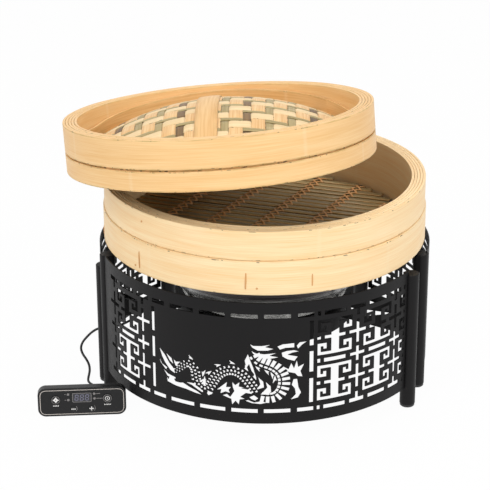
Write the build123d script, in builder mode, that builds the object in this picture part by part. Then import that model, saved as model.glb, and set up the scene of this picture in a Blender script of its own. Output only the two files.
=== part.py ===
# Table dumpling steamer: a bamboo basket with its lid stands on a perforated steel stand,
# over a water pan and an electric heater, with a wired control that stands beside it.
# Millimetres, +Z up. The origin is on the stand's axis, at the table.
# Angles round the axis are counted from the front (-Y), positive towards +X.
# A post's turn is the direction, round the post, in which a screen goes into its wall.
from build123d import *
from math import asin, atan2, cos, degrees, pi, radians, sin, sqrt, tan
import os

# Stand: driving dimensions
stand_radius = 205.0
sheet = 1.5
screen_bottom = 26.7
screen_top = 182.0
post_radius = 9.5
post_wall = 1.5
foot_height = 4.0
foot_inset = 0.5
foot_chamfer = 1.0
cap_height = 2.0
cap_chamfer = 0.8
plug_length = 12.0
fit_gap = 0.3
fine_gap = 0.1
thread_gap = 0.05
front_left_post = {"angle": -74.1, "turn": -40.6, "height": 180.2}
front_right_post = {"angle": 59.3, "turn": 2.0, "height": 177.0}
back_right_post = {"angle": 75.2, "turn": -65.6, "height": 180.2}
back_left_post = {"angle": -79.6, "turn": -17.1, "height": 158.7}
rear_post_angle = 138.0
rear_post_height = 180.2
sheet_bite = 2.2

# Perforated pattern of the screens
row_low = screen_bottom + 16.3
row_high = screen_top - 17.0
row_middle = (row_low + row_high) / 2
row_slot = 5.5
lattice_pitch = 17.1
bar = 4.4
key_width = 44.7
key_height = 45.6
key_stem = 10.5
key_leg = 15.5
key_foot = 11.7
key_hook = 7.8
key_arm = 27.0
key_low = row_middle - 29.3
key_high = row_middle + 29.5
long_slot = 28.3
cross_arm = 24.0
tee_arm = 21.0
cross_rise = 30.6
middle_cross_rise = 19.5
tee_stem = 8.0
small_slot = 4.0
small_square = 4.8
small_offset = 20.4
dash_width = 5.0
dash_margin = 8.0
dash_length = 32.0
dash_below = 13.0
dash_above = 14.0
front_right_keys = [23.85, 40.95]
front_left_key = -53.4
left_dashes = -39.9
right_dashes = 15.6
panel_middle = -12.05
panel_slots = [(-40.1, -34.9), (-32.65, -23.85), (-21.75, -12.95), (-10.95, -2.15), (-0.2, 8.6), (10.8, 16.3)]
panel_reach = 30.0
dragon_ground = 43.0
half_key_edge = 55.0
back_keys = 11
back_middle = 180.0
cut_clear = 1.0
cut_over = 5.0

# Heater under the pan
housing_radius = 110.0
housing_bottom = 84.5
housing_wall = 1.2
wall_cut = 6.0
cover_thickness = 1.2
board_room = 6.5
insulation_gap = 6.0
insulation_thickness = 4.0
coil_reach = 66.0
coil_tube = 3.2
coil_gap = 0.6
coil_open = 24.0
plate_inset = 9.0
plate_rim = 4.0
plate_thickness = 5.0
plate_skin = 1.5
heater_screw_radius = 2.0
heater_screw_reach = 88.0
heater_screws = 4
screw_end_gap = 0.5
spacer_wall = 2.5
screw_head_radius = 3.8
screw_head_height = 2.0
screw_chamfer = 0.6
screw_slot_length = 5.0
screw_slot_width = 1.0
vent_slots = 24
vent_reach = 62.0
vent_length = 18.0
vent_width = 3.0
sensor_radius = 9.0
sensor_fillet = 0.8
arm_thickness = 3.0
arm_rise = 12.5
arm_inner_height = 6.0
arm_outer_height = 22.0
arm_drop = 2.0
arm_head = 8.0
arm_run = 26.0

# Relay board and terminal block, on the bottom cover
relay_board_x = 38.0
relay_board_length = 40.0
relay_board_width = 30.0
relay_board_thickness = 1.4
relay_board_edge = 4.0
relay_foot_radius = 2.2
relay_foot_height = 1.6
relay_places = [(30.0, 4.0), (46.0, -5.0)]
relay_length = 12.0
relay_width = 9.0
relay_height = 3.0
terminal_place = (-34.0, 20.0)
terminal_length = 26.0
terminal_width = 14.0
terminal_height = 5.6
terminal_pitch = 8.0
terminal_hole = 2.0
terminal_depth = 3.0

# Mains inlet
inlet_width = 28.0
inlet_height = 14.0
inlet_rise = 10.5
inlet_side_wall = 2.5
inlet_top_wall = 2.0
inlet_brim = 2.0
inlet_depth = 5.0
inlet_well = 6.0
pin_pitch = 7.0
pin_width = 1.6
pin_height = 4.0
pin_root = 4.0
pin_length = 4.5

# Water pan
pan_wall = 0.8
pan_radius = 104.0
pan_straight = 17.0
pan_height = 81.9
pan_clear = 13.2
pan_flange = 16.5
pan_lip = 2.6
pan_bend = 9.0
pan_lip_bend = 1.2

# Basket
basket_height = 78.5
basket_seat = 7.0
hoop_strip = 3.2
hoop_gap = 0.3
hoop_layers = 5
lower_band_height = 42.0
lower_band_swell = 1.4
floor_hoop_height = 5.6
floor_gap = 0.5
batten_width = 9.0
batten_height = 5.0
batten_pitch = 57.0
batten_angle = 63.0
battens = 5
slat_angle = -18.0
slat_pitch = 12.6
slat_width = 10.2
slat_thickness = 3.0
lace_width = 2.4
lace_thickness = 0.8
lace_swing = 5.2
lace_end = 6.0
peg_radius = 1.3
peg_recess = 0.2
stitch_width = 1.8
stitch_rise = 0.7

# Pegs as (angle, height) and stitches as (angle, height, length), over the hoops' lower edge
basket_pegs = [
    (-46.5, 66.0), (-50.0, 7.0), (-2.5, 8.5), (43.0, 68.0), (40.5, 9.0), (137.0, 9.0), (-137.0, 9.0),
]
basket_stitches = [(-82.0, 11.0, 12.0), (-47.7, 16.5, 21.0), (-6.2, 17.5, 20.0), (16.0, 17.0, 17.0)]

# Lid, which lies ajar on the basket's rim: higher at the front and at the right
lid_x = -51.6
lid_y = -34.7
lid_rise_front = 8.30
lid_rise_right = 4.19
lid_rest_gap = 0.37
lid_narrower = 11.1
lid_height = 59.4
lid_lower_band_height = 25.0
panel_edge_height = 19.0
panel_rise = 50.0
panel_thickness = 3.0
lining_thickness = 1.6
retaining_height = 18.0
retaining_back_height = 35.0
retaining_bend = 60.0
support_height = 10.0
centre_slat_width = 27.0
centre_slat_shift = -11.3
centre_slat_thickness = 2.4
lid_stitches = [(-118.0, 14.0, 12.0), (112.0, 13.0, 12.0), (150.0, 13.0, 12.0)]

# Wired control, on its long edge beside the stand
control_angle = -58.52
control_beside = 54.5
control_turn = 4.5
control_length = 107.0
control_height = 38.0
control_corner = 5.5
corner_follow = 0.8
control_wall = 1.6
control_split = 5.2
control_front_round = 0.8
control_back_round = 1.2
board_depth = 6.0
board_thickness = 1.6
board_edge_gap = 2.0
board_corner = 2.0
back_room = 1.3
round_key_radius = 5.8
small_key_radius = 3.4
key_gap = 0.3
key_flange = 1.1
key_flange_thickness = 0.8
key_proud = 0.8
key_round = 0.4
key_stem_radius = 1.6
key_travel = 0.6
key_stop_gap = 0.1
window_length = 23.2
window_height = 12.4
window_thickness = 1.0
window_proud = 0.2
window_ledge = 1.5
window_corner = 0.75
module_inset = 2.0
lamp_radius = 1.1
lamp_flange = 0.6
lamp_flange_thickness = 0.2
lamp_proud = 0.1
trim_inset = 2.6
trim_width = 0.8
trim_thickness = 0.8
switch_height = 1.3
switch_size = 5.0
control_screw_inset = 9.5
control_screw_radius = 1.1
control_screw_head = 2.2
control_screw_slot = 2.8
control_screw_slot_width = 0.6
control_screw_slot_depth = 0.7
screw_head_depth = 0.6
screw_seat_depth = 2.0
screw_seat_gap = 0.2
screw_boss_wall = 1.4
screw_seat_wall = 1.0
screw_board_gap = 0.3
screw_front_gap = 0.6
gland_radius = 3.2
gland_length = 6.0
gland_taper = 8.0

# Places on the control's face, from its middle
mode_place = (-31.7, 3.6)
power_place = (30.9, 3.9)
minus_place = (-10.5, -9.2)
plus_place = (11.4, -9.2)
window_place = (0.0, 5.8)
lamp_places = [(-16.5, 10.4), (-16.5, 2.8), (15.1, 10.4), (15.1, 4.0)]
control_gland_place = (19.0, -10.0)

# Control lead
lead_radius = 1.5
lead_exit_angle = -85.0
lead_gland_rise = 11.0
lead_gland_length = 8.0
lead_gland_inside = 2.0
lead_gland_step = 0.3
lead_gland_brim = 1.6
lead_gland_brim_thickness = 2.2
lead_gland_neck = 0.4
lead_gland_taper = 6.0
lead_hole_height = 63.0
lead_near = 8.0
grommet_radius = 4.2
grommet_brim = 1.6
grommet_brim_thickness = 1.4
grommet_brim_gap = 0.2

os.makedirs("parts", exist_ok=True)


def keep(piece, label):
    """Labels a finished piece and writes it."""
    piece.part.label = label
    export_step(piece.part, f"parts/{label}.step")


def around(angle, reach):
    """Plan point at an angle round the axis and a distance from it."""
    return reach * sin(radians(angle)), -reach * cos(radians(angle))


def wall_plane(angle, reach, base=Plane.XY):
    """Upright plane that faces outwards at an angle, with its Y along the axis."""
    turn = radians(angle)
    face = Plane(
        (reach * sin(turn), -reach * cos(turn), 0),
        x_dir=(cos(turn), sin(turn), 0),
        z_dir=(sin(turn), -cos(turn), 0),
    )
    return Plane(base.location * face.location)


def radial_plane(angle):
    """Upright plane through the axis, with its X outwards and its Y up."""
    turn = radians(angle)
    return Plane((0, 0, 0), x_dir=(sin(turn), -cos(turn), 0), z_dir=(-cos(turn), -sin(turn), 0))


def bent_sheet(outer, inner, start, finish):
    """Plan of a sheet rolled round the axis from one angle to another."""
    middle = (start + finish) / 2
    with BuildSketch(mode=Mode.PRIVATE) as plan:
        with BuildLine():
            ThreePointArc(around(start, outer), around(middle, outer), around(finish, outer))
            Line(around(finish, outer), around(finish, inner))
            ThreePointArc(around(finish, inner), around(middle, inner), around(start, inner))
            Line(around(start, inner), around(start, outer))
        make_face()
    return plan.sketch


sheet_middle = stand_radius - sheet / 2
bite_radius = post_radius - sheet_bite


def post_reach(post):
    """Distance of a post's axis from the stand's axis."""
    return sheet_middle + bite_radius * sin(radians(post["turn"]))


def post_offset(post):
    """Angle between a post's axis and the end of a sheet that goes into its wall."""
    return degrees(asin(bite_radius * cos(radians(post["turn"])) / sheet_middle))


# Ends of both screens, inside the walls of their posts
front_start = front_left_post["angle"] + post_offset(front_left_post)
front_finish = front_right_post["angle"] - post_offset(front_right_post)
back_start = back_right_post["angle"] + post_offset(back_right_post)
back_finish = 360.0 + back_left_post["angle"] - post_offset(back_left_post)
screen_height = screen_top - screen_bottom
screen_inner = stand_radius - sheet


# Openings of the lattice, drawn flat: X along the sheet, Y up

def key_bars(y):
    """Centres and sizes of a key fret's bars: a stem between two bars whose ends turn inwards."""
    bars = [(0, y, key_stem, key_height), (0, y, key_arm, bar)]
    for up in (-1, 1):
        bars.append((0, y + up * (key_height - bar) / 2, key_width, bar))
        for side in (-1, 1):
            leg_x = side * (key_width - bar) / 2
            foot_x = side * (key_width - key_foot) / 2
            hook_x = side * (key_width / 2 - key_foot + bar / 2)
            bars.append((leg_x, y + up * (key_height - key_leg) / 2, bar, key_leg))
            bars.append((foot_x, y + up * (key_height / 2 - key_leg + bar / 2), key_foot, bar))
            bars.append((hook_x, y + up * (key_height / 2 - key_leg + key_hook / 2), bar, key_hook))
    return bars


def cross_bars(y):
    """One upright cross."""
    return [(0, y, bar, cross_rise), (0, y, cross_arm, bar)]


rows = (row_low, row_middle, row_high)
key_rows = (key_low, key_high)
long_slots = [(0, y, long_slot, row_slot) for y in rows]
tee_lift = (row_slot + tee_stem) / 2 - bar / 2
tees = [
    (0, row_low, tee_arm, row_slot), (0, row_low + tee_lift, bar, tee_stem + bar),
    (0, row_high, tee_arm, row_slot), (0, row_high - tee_lift, bar, tee_stem + bar),
    (0, row_middle, bar, middle_cross_rise), (0, row_middle, tee_arm, bar),
]
small_squares = [(-small_offset, y, small_square, small_square) for y in key_rows]
dashes = [
    (row_low + dash_margin, row_low + dash_margin + dash_length),
    (row_middle - dash_below, row_middle + dash_above),
    (row_high - dash_margin - dash_length, row_high - dash_margin),
]


def drawn(bars):
    """Draws rectangles in the sketch at hand from their centres and sizes."""
    for x, y, width, height in bars:
        with Locations((x, y)):
            Rectangle(width, height)


with BuildSketch() as key_unit:
    drawn(long_slots + key_bars(key_low) + key_bars(key_high))

with BuildSketch() as cross_unit:
    drawn(tees + cross_bars(key_low) + cross_bars(key_high))

with BuildSketch() as dash_unit:
    drawn([(0, (low + high) / 2, dash_width, high - low) for low, high in dashes])

with BuildSketch() as small_unit:
    drawn([(-small_offset, y, small_slot, row_slot) for y in rows] + small_squares)

# The key frets that the right post hides all but the left edge of
half_key_cut = stand_radius * radians(half_key_edge - front_right_keys[1] - lattice_pitch)
with BuildSketch() as half_key_unit:
    add(key_unit.sketch)
    with Locations((half_key_cut - key_width, (row_low + row_high) / 2)):
        Rectangle(2 * key_width, screen_height, mode=Mode.INTERSECT)


def across(angle):
    """Place across the dragon panel's flat plane of an angle round the axis."""
    return stand_radius * sin(radians(angle - panel_middle))


# Dragon figure: its body follows a line, with scales, plates and flames along it
serpent = [(-68, 81), (-58, 88.5), (-49, 95), (-42, 91), (-39.5, 81), (-36, 71), (-28, 66.5), (-20, 74),
           (-14, 84), (-6, 91.5), (4, 94.5), (14, 91.5), (22, 84), (29, 75), (35, 67)]
coil_line = [(38, 62), (46, 60.5), (55, 62), (62, 69), (65, 80), (62.5, 92), (55, 100.5), (45, 105.5),
             (36, 110), (31, 117)]
scale_rows = [-4.6, 0.0, 4.6]
scale_pitch = 4.5
scale_size = 3.3
plate_pitch = 5.6
plate_size = (4.3, 9.0)
plate_small = (4.0, 3.2)
flame_length = 9.0
tail_flames = [
    [(-66, 77), (-73, 80), (-80, 88), (-84, 95), (-88, 107), (-80, 99), (-74, 90), (-68, 84)],
    [(-77, 83), (-84, 86), (-89, 96), (-86, 86), (-79, 79)],
    [(-74, 93), (-79, 102), (-71, 97), (-68, 88)],
    [(-66, 88), (-69, 97), (-64, 93), (-62, 87)],
    [(-66, 73), (-76, 75), (-84, 81), (-77, 71), (-66, 70)],
]
lower_jaw = [(-78, 71), (-77, 64), (-66, 61.5), (-52, 60.5), (-40, 58), (-31, 57), (-38, 61.5), (-48, 65),
             (-56, 68.5),
             (-60, 67.5), (-66, 67.5), (-69, 72), (-71, 67.5), (-74, 72), (-75.5, 67.5)]
whiskers = [
    [(-54, 70), (-45, 67.5), (-36, 62.5), (-30, 60.5), (-34, 66), (-44, 71)],
    [(-26, 61), (-23, 64), (-18, 63), (-20, 60), (-24, 58)],
]
mane = [
    [(25, 131), (30, 128), (40, 128), (52, 130), (44, 126.5), (54, 124), (46, 121.5), (35, 121.5), (29, 125)],
    [(27, 122), (33, 118.5), (43, 117.5), (58, 119), (49, 115.5), (60, 113), (48, 110.8), (38, 112.5), (30, 117)],
    [(24, 117), (20, 108), (22, 99), (25, 104), (28, 95), (33, 88), (30, 100), (27, 108)],
]
head = [
    [(57, 127), (64, 130), (72, 130.5), (76, 130.5), (76, 124.5), (66, 124.5), (60, 122.5)],
    [(78.5, 126.5), (82, 131), (90, 131.5), (84, 127), (80, 122.5)],
    [(62, 119), (68, 121), (76, 121.5), (82, 119), (74, 118), (69, 116), (80, 113), (76, 107), (68, 110),
     (63, 113.5)],
]
fore_claw = [(64, 101), (70, 97.5), (73, 105), (76, 98), (79, 108), (80.5, 99.5), (87, 103), (83, 94), (85.5, 86),
             (80, 87), (77, 91), (70, 93)]
fore_leg = [(75.5, 84), (79.5, 84), (81, 73), (84, 66), (80, 59), (72, 57), (78, 64), (77, 71), (73.5, 76)]
hind_leg = [(-7, 61), (-1, 63.5), (3, 60), (8, 68), (16, 72.5), (25, 71), (29, 65), (21, 66), (15, 61), (21, 58.5),
            (14, 57), (13, 50.5), (9, 55), (5, 50), (4, 57), (-2, 59)]
swirls = [
    [(25, 61), (31, 64), (36, 60), (32, 56.5), (28, 58)],
    [(20, 56), (28, 53), (38, 52), (46, 54), (40, 56.5), (31, 54.5), (24, 57.5)],
    [(41, 68), (46, 74), (44, 82), (50, 76), (50.5, 68), (45, 64.5), (38, 64.5)],
    [(34, 71), (38, 78), (36, 86), (31.5, 92), (41.5, 82), (42.5, 74)],
]
mid_claw = [(-14, 67), (-8, 68.5), (-9, 63), (-3, 66), (3, 64.5), (1, 69), (4, 73), (-2, 72.5), (-1, 79), (-7, 73.5)]
spray = [(5, 80), (9, 76), (14, 80), (13, 74.5), (21, 73.5), (12, 71.5), (8, 67), (6, 72)]
single_outlines = [lower_jaw, fore_claw, fore_leg, hind_leg, mid_claw, spray]
drawn_outlines = tail_flames + whiskers + mane + head + swirls + single_outlines
plate_offset = -2.4
plate_small_offset = 5.2
flame_offset = 8.2
body_flames = [0.08, 0.17, 0.26, 0.35, 0.47, 0.56, 0.64, 0.72, 0.80, 0.88]
coil_flames = [0.50, 0.62, 0.74, 0.86]


def along(line, fraction, offset):
    """Place and heading beside a line, at a fraction of its length."""
    place = line.position_at(fraction)
    heading = line.tangent_at(fraction)
    normal = Vector(-heading.Y, heading.X)
    spot = place + normal * offset
    return spot, degrees(atan2(heading.Y, heading.X))


def placed(spot, turn, shape):
    """A shape moved to a place and turned to a heading."""
    return Location((spot.X, spot.Y, 0), (0, 0, turn)) * shape


def scale(length, width):
    """One scale: a short pointed leaf that lies along the body."""
    return Polygon(
        (-length / 2, -width / 2), (length * 0.2, -width / 2), (length / 2, 0),
        (length * 0.2, width / 2), (-length / 2, width / 2), (-length * 0.25, 0),
        align=None,
    )


def flame(length):
    """One flame of the dragon's back, swept back from its root."""
    return Polygon(
        (length * 0.55, 0), (length * 0.15, length * 0.30), (-length * 0.55, length * 0.62),
        (-length * 0.2, length * 0.18), (-length * 0.35, 0),
        align=None,
    )


# Lines of the dragon's body and of its great coil
body = Spline(*serpent)
coil = Spline(*coil_line)


def body_share(fraction):
    """How full the body is along its line: it tapers to the tail."""
    return min(1.0, 0.45 + 2.2 * fraction)


def dragon_shapes():
    """Openings that make the dragon: scales, plates, flames and drawn outlines."""
    shapes = []
    steps = int(body.length / scale_pitch)
    for row, offset in enumerate(scale_rows):
        for step in range(steps):
            fraction = (step + 0.5 + 0.5 * (row % 2)) / (steps + 0.5)
            share = body_share(fraction)
            spot, turn = along(body, fraction, offset * share)
            shapes.append(placed(spot, turn, scale(scale_size * (0.75 + 0.25 * share), scale_size * share)))
    steps = int(coil.length / plate_pitch)
    for step in range(steps):
        fraction = (step + 0.5) / steps
        for offset, size in ((plate_offset, plate_size), (plate_small_offset, plate_small)):
            spot, turn = along(coil, fraction, offset)
            shapes.append(placed(spot, turn, Rectangle(*size)))
    for fraction in body_flames:
        spot, turn = along(body, fraction, flame_offset * body_share(fraction))
        shapes.append(placed(spot, turn, flame(flame_length)))
    for fraction in coil_flames:
        spot, turn = along(coil, fraction, flame_offset)
        shapes.append(placed(spot, turn, flame(flame_length)))
    for outline in drawn_outlines:
        shapes.append(Polygon(*outline, align=None))
    return shapes


dragon = dragon_shapes()


def sheet_cutter(angle):
    """Plane just outside a screen, parallel to its tangent at an angle."""
    return wall_plane(angle, stand_radius + cut_clear)


# Front screen, from the front left post to the front right one
unit_depth = cut_clear + sheet + cut_over
panel_depth = stand_radius * (1 - cos(radians(panel_reach))) + cut_clear + sheet
half_key_angle = front_right_keys[1] + lattice_pitch
front_crosses = [angle + lattice_pitch / 2 for angle in front_right_keys]
front_crosses += [front_left_key - lattice_pitch / 2, front_left_key + lattice_pitch / 2]
with BuildPart() as front_screen:
    with BuildSketch(Plane.XY.offset(screen_bottom)):
        add(bent_sheet(stand_radius, screen_inner, front_start, front_finish))
    extrude(amount=screen_height)
    with BuildSketch(*[sheet_cutter(angle) for angle in front_right_keys + [front_left_key]]):
        add(key_unit.sketch)
    with BuildSketch(*[sheet_cutter(angle) for angle in front_crosses]):
        add(cross_unit.sketch)
    with BuildSketch(sheet_cutter(left_dashes), sheet_cutter(right_dashes)):
        add(dash_unit.sketch)
    with BuildSketch(sheet_cutter(front_right_keys[0])):
        add(small_unit.sketch)
    with BuildSketch(sheet_cutter(half_key_angle)):
        add(half_key_unit.sketch)
    extrude(amount=-unit_depth, clean=False, mode=Mode.SUBTRACT)
    with BuildSketch(sheet_cutter(panel_middle)):
        for height in (row_low, row_high):
            drawn([
                ((across(a) + across(b)) / 2, height, across(b) - across(a), row_slot)
                for a, b in panel_slots
            ])
        with Locations((0, row_low - dragon_ground)):
            add(dragon)
    extrude(amount=-panel_depth, clean=False, mode=Mode.SUBTRACT)
    # Chips that the openings cut loose drop out of the sheet
    add(front_screen.solids().sort_by(SortBy.VOLUME)[-1], mode=Mode.REPLACE)
keep(front_screen, "front_screen")

# Back screen, from the back right post round to the back left one
first_key = back_middle - lattice_pitch * (back_keys - 1) / 2
with BuildPart() as back_screen:
    with BuildSketch(Plane.XY.offset(screen_bottom)):
        add(bent_sheet(stand_radius, screen_inner, back_start, back_finish))
    extrude(amount=screen_height)
    with BuildSketch(*[sheet_cutter(first_key + number * lattice_pitch) for number in range(back_keys)]):
        add(key_unit.sketch)
    with BuildSketch(*[
        sheet_cutter(first_key + (number - 0.5) * lattice_pitch) for number in range(back_keys + 1)
    ]):
        add(cross_unit.sketch)
    with BuildSketch(sheet_cutter(lead_exit_angle)):
        with Locations((0, lead_hole_height)):
            Circle(grommet_radius + fine_gap)
    extrude(amount=-unit_depth, clean=False, mode=Mode.SUBTRACT)
keep(back_screen, "back_screen")

# Posts: tubes that both screens are let into, each with a foot and a cap
posts = {
    "post_front_left": front_left_post,
    "post_front_right": front_right_post,
    "post_back_right": back_right_post,
    "post_back_left": back_left_post,
}

# Slots for the ends of both screens, open at the top
slot_outer = stand_radius + fit_gap
slot_inner = screen_inner - fit_gap
slot_over = 0.1
tube_radius = post_radius - post_wall
foot_radius = post_radius - foot_inset
slot_rise = screen_height + cap_height + fit_gap
with BuildSketch() as slot_plan:
    add(bent_sheet(slot_outer, slot_inner, front_start - slot_over, front_finish + slot_over))
    add(bent_sheet(slot_outer, slot_inner, back_start - slot_over, back_finish + slot_over))

for label, post in posts.items():
    with BuildPart() as post_tube:
        with BuildSketch(Plane.XY.offset(foot_height)):
            with Locations(around(post["angle"], post_reach(post))):
                Circle(post_radius)
                Circle(tube_radius, mode=Mode.SUBTRACT)
        extrude(amount=post["height"] - foot_height - cap_height)
        with BuildSketch(Plane.XY.offset(screen_bottom - fit_gap)):
            add(slot_plan.sketch)
        extrude(amount=slot_rise, mode=Mode.SUBTRACT)
    keep(post_tube, label)

# Two more posts stand inside the back screen
rear_reach = slot_inner - post_radius
rear_angles = [-rear_post_angle, rear_post_angle]
with BuildPart() as rear_posts:
    with BuildSketch(Plane.XY.offset(foot_height)):
        with Locations(*[around(angle, rear_reach) for angle in rear_angles]):
            Circle(post_radius)
            Circle(tube_radius, mode=Mode.SUBTRACT)
    extrude(amount=rear_post_height - foot_height - cap_height)
keep(rear_posts, "rear_posts")

# Angle, reach and height of all six posts
all_posts = [(post["angle"], post_reach(post), post["height"]) for post in posts.values()]
all_posts += [(angle, rear_reach, rear_post_height) for angle in rear_angles]
post_places = [around(angle, reach) for angle, reach, height in all_posts]
with BuildPart() as foot_plugs:
    with BuildSketch():
        with Locations(*post_places):
            Circle(foot_radius)
    extrude(amount=foot_height)
    with BuildSketch(Plane.XY.offset(foot_height)):
        with Locations(*post_places):
            Circle(tube_radius - fit_gap)
    extrude(amount=plug_length)
    chamfer(foot_plugs.edges().group_by(Axis.Z)[0], foot_chamfer)
keep(foot_plugs, "foot_plugs")

with BuildPart() as post_caps:
    for angle, reach, height in all_posts:
        place = around(angle, reach)
        cap_bottom = height - cap_height
        with BuildSketch(Plane.XY.offset(cap_bottom)):
            with Locations(place):
                Circle(post_radius)
        disc = extrude(amount=cap_height)
        chamfer(disc.edges().group_by(Axis.Z)[-1], cap_chamfer)
        with BuildSketch(Plane.XY.offset(cap_bottom - plug_length)):
            with Locations(place):
                Circle(tube_radius - fit_gap)
        extrude(amount=plug_length)
    with BuildSketch(Plane.XY.offset(screen_bottom - fit_gap)):
        add(slot_plan.sketch)
    extrude(amount=slot_rise, mode=Mode.SUBTRACT)
keep(post_caps, "post_caps")

# Arms that carry the heater, one from each post
arm_bottom = housing_bottom + arm_rise
arm_top = arm_bottom + arm_inner_height
outer_top = arm_bottom + arm_outer_height
with BuildPart() as support_arms:
    for angle, reach, height in all_posts:
        outer_end = reach - post_radius
        with BuildSketch(radial_plane(angle)):
            Polygon(
                (housing_radius, arm_bottom), (outer_end, arm_bottom - arm_drop),
                (outer_end, outer_top), (outer_end - arm_head, outer_top),
                (housing_radius + arm_run, arm_top), (housing_radius, arm_top),
                align=None,
            )
        extrude(amount=arm_thickness / 2, both=True)
keep(support_arms, "support_arms")

# Heater housing: a drum with an inward lip over the hot plate's rim
insulation_bottom = housing_bottom + board_room
coil_height = insulation_bottom + insulation_thickness + coil_tube
plate_bottom = coil_height + coil_tube + coil_gap
plate_top = plate_bottom + plate_thickness
housing_top = plate_top
plate_radius = housing_radius - plate_inset
plate_rim_radius = plate_radius + plate_rim
plate_rim_top = housing_top - housing_wall - fit_gap
inlet_middle = housing_bottom + inlet_rise
lead_gland_height = housing_bottom + lead_gland_rise
with BuildPart() as heater_housing:
    with BuildSketch(Plane.XY.offset(housing_bottom)):
        Circle(housing_radius)
    extrude(amount=housing_top - housing_bottom)
    with BuildSketch(Plane.XY.offset(housing_bottom)):
        Circle(housing_radius - housing_wall)
    extrude(amount=housing_top - housing_bottom - housing_wall, mode=Mode.SUBTRACT)
    with BuildSketch(Plane.XY.offset(housing_bottom)):
        Circle(plate_radius + fit_gap)
    extrude(amount=housing_top - housing_bottom, mode=Mode.SUBTRACT)
    with BuildSketch(wall_plane(180.0, housing_radius + cut_clear)):
        with Locations((0, inlet_middle)):
            Rectangle(inlet_width, inlet_height)
    with BuildSketch(wall_plane(lead_exit_angle, housing_radius + cut_clear)):
        with Locations((0, lead_gland_height)):
            Circle(gland_radius + fine_gap)
    extrude(amount=-wall_cut, mode=Mode.SUBTRACT)
keep(heater_housing, "heater_housing")

screw_places = PolarLocations(heater_screw_reach, heater_screws, start_angle=45.0)
with BuildPart() as hot_plate:
    with BuildSketch(Plane.XY.offset(plate_bottom)):
        Circle(plate_rim_radius)
    extrude(amount=plate_rim_top - plate_bottom)
    with BuildSketch(Plane.XY.offset(plate_bottom)):
        Circle(plate_radius)
    extrude(amount=plate_thickness)
    with BuildSketch(Plane.XY.offset(plate_bottom)):
        Circle(sensor_radius + fit_gap)
    extrude(amount=plate_thickness, mode=Mode.SUBTRACT)
    with BuildSketch(Plane.XY.offset(plate_bottom)):
        with screw_places:
            Circle(heater_screw_radius + thread_gap)
    extrude(amount=plate_thickness - plate_skin, mode=Mode.SUBTRACT)
keep(hot_plate, "hot_plate")

# Tubular element under the hot plate, open at the back where its ends turn down
with BuildPart() as heating_element:
    with BuildSketch(Plane.XZ):
        with Locations((coil_reach, coil_height)):
            Circle(coil_tube)
    revolve(axis=Axis.Z, revolution_arc=360.0 - coil_open)
keep(heating_element, "heating_element")

with BuildPart() as insulation_disc:
    with BuildSketch(Plane.XY.offset(insulation_bottom)):
        Circle(housing_radius - insulation_gap)
        Circle(sensor_radius + fit_gap, mode=Mode.SUBTRACT)
        with screw_places:
            Circle(heater_screw_radius + fit_gap, mode=Mode.SUBTRACT)
    extrude(amount=insulation_thickness)
keep(insulation_disc, "insulation_disc")

with BuildPart() as screw_spacers:
    with BuildSketch(Plane.XY.offset(housing_bottom)):
        with screw_places:
            Circle(heater_screw_radius + spacer_wall)
            Circle(heater_screw_radius + fit_gap, mode=Mode.SUBTRACT)
    extrude(amount=board_room)
    with BuildSketch(Plane.XY.offset(insulation_bottom + insulation_thickness)):
        with screw_places:
            Circle(heater_screw_radius + spacer_wall)
            Circle(heater_screw_radius + fit_gap, mode=Mode.SUBTRACT)
    extrude(amount=plate_bottom - insulation_bottom - insulation_thickness)
keep(screw_spacers, "screw_spacers")

# Bottom cover, drawn up against the housing by the four screws
with BuildPart() as base_cover:
    with BuildSketch(Plane.XY.offset(housing_bottom - cover_thickness)):
        Circle(housing_radius)
        with screw_places:
            Circle(heater_screw_radius + fit_gap, mode=Mode.SUBTRACT)
        with PolarLocations(vent_reach, vent_slots):
            SlotOverall(vent_length, vent_width, mode=Mode.SUBTRACT)
    extrude(amount=cover_thickness)
keep(base_cover, "base_cover")

with BuildPart() as heater_screw_set:
    head_bottom = housing_bottom - cover_thickness - screw_head_height
    with BuildSketch(Plane.XY.offset(head_bottom)):
        with screw_places:
            Circle(screw_head_radius)
    extrude(amount=screw_head_height)
    chamfer(heater_screw_set.edges().group_by(Axis.Z)[0], screw_chamfer)
    with BuildSketch(Plane.XY.offset(head_bottom + screw_head_height)):
        with screw_places:
            Circle(heater_screw_radius)
    extrude(amount=plate_top - plate_skin - screw_end_gap - head_bottom - screw_head_height)
    with BuildSketch(Plane.XY.offset(head_bottom)):
        with screw_places:
            Rectangle(screw_slot_length, screw_slot_width)
            Rectangle(screw_slot_width, screw_slot_length)
    extrude(amount=screw_head_height / 2, mode=Mode.SUBTRACT)
keep(heater_screw_set, "heater_screws")

# Temperature sensor in the middle of the hot plate, on a stem from the cover
with BuildPart() as temperature_sensor:
    with BuildSketch(Plane.XY.offset(housing_bottom)):
        Circle(sensor_radius)
    extrude(amount=plate_top - housing_bottom)
    fillet(temperature_sensor.edges().group_by(Axis.Z)[-1], sensor_fillet)
keep(temperature_sensor, "temperature_sensor")

# Relay board: on four feet, with two relays
relay_board_bottom = housing_bottom + relay_foot_height
foot_run = relay_board_length - 2 * relay_board_edge
foot_span = relay_board_width - 2 * relay_board_edge
with BuildPart() as relay_board:
    with BuildSketch(Plane.XY.offset(housing_bottom)):
        with Locations((relay_board_x, 0)):
            with GridLocations(foot_run, foot_span, 2, 2):
                Circle(relay_foot_radius)
    extrude(amount=relay_foot_height)
    with BuildSketch(Plane.XY.offset(relay_board_bottom)):
        with Locations((relay_board_x, 0)):
            Rectangle(relay_board_length, relay_board_width)
    extrude(amount=relay_board_thickness)
    with BuildSketch(Plane.XY.offset(relay_board_bottom + relay_board_thickness)):
        with Locations(*relay_places):
            Rectangle(relay_length, relay_width)
    extrude(amount=relay_height)
keep(relay_board, "relay_board")

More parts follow.
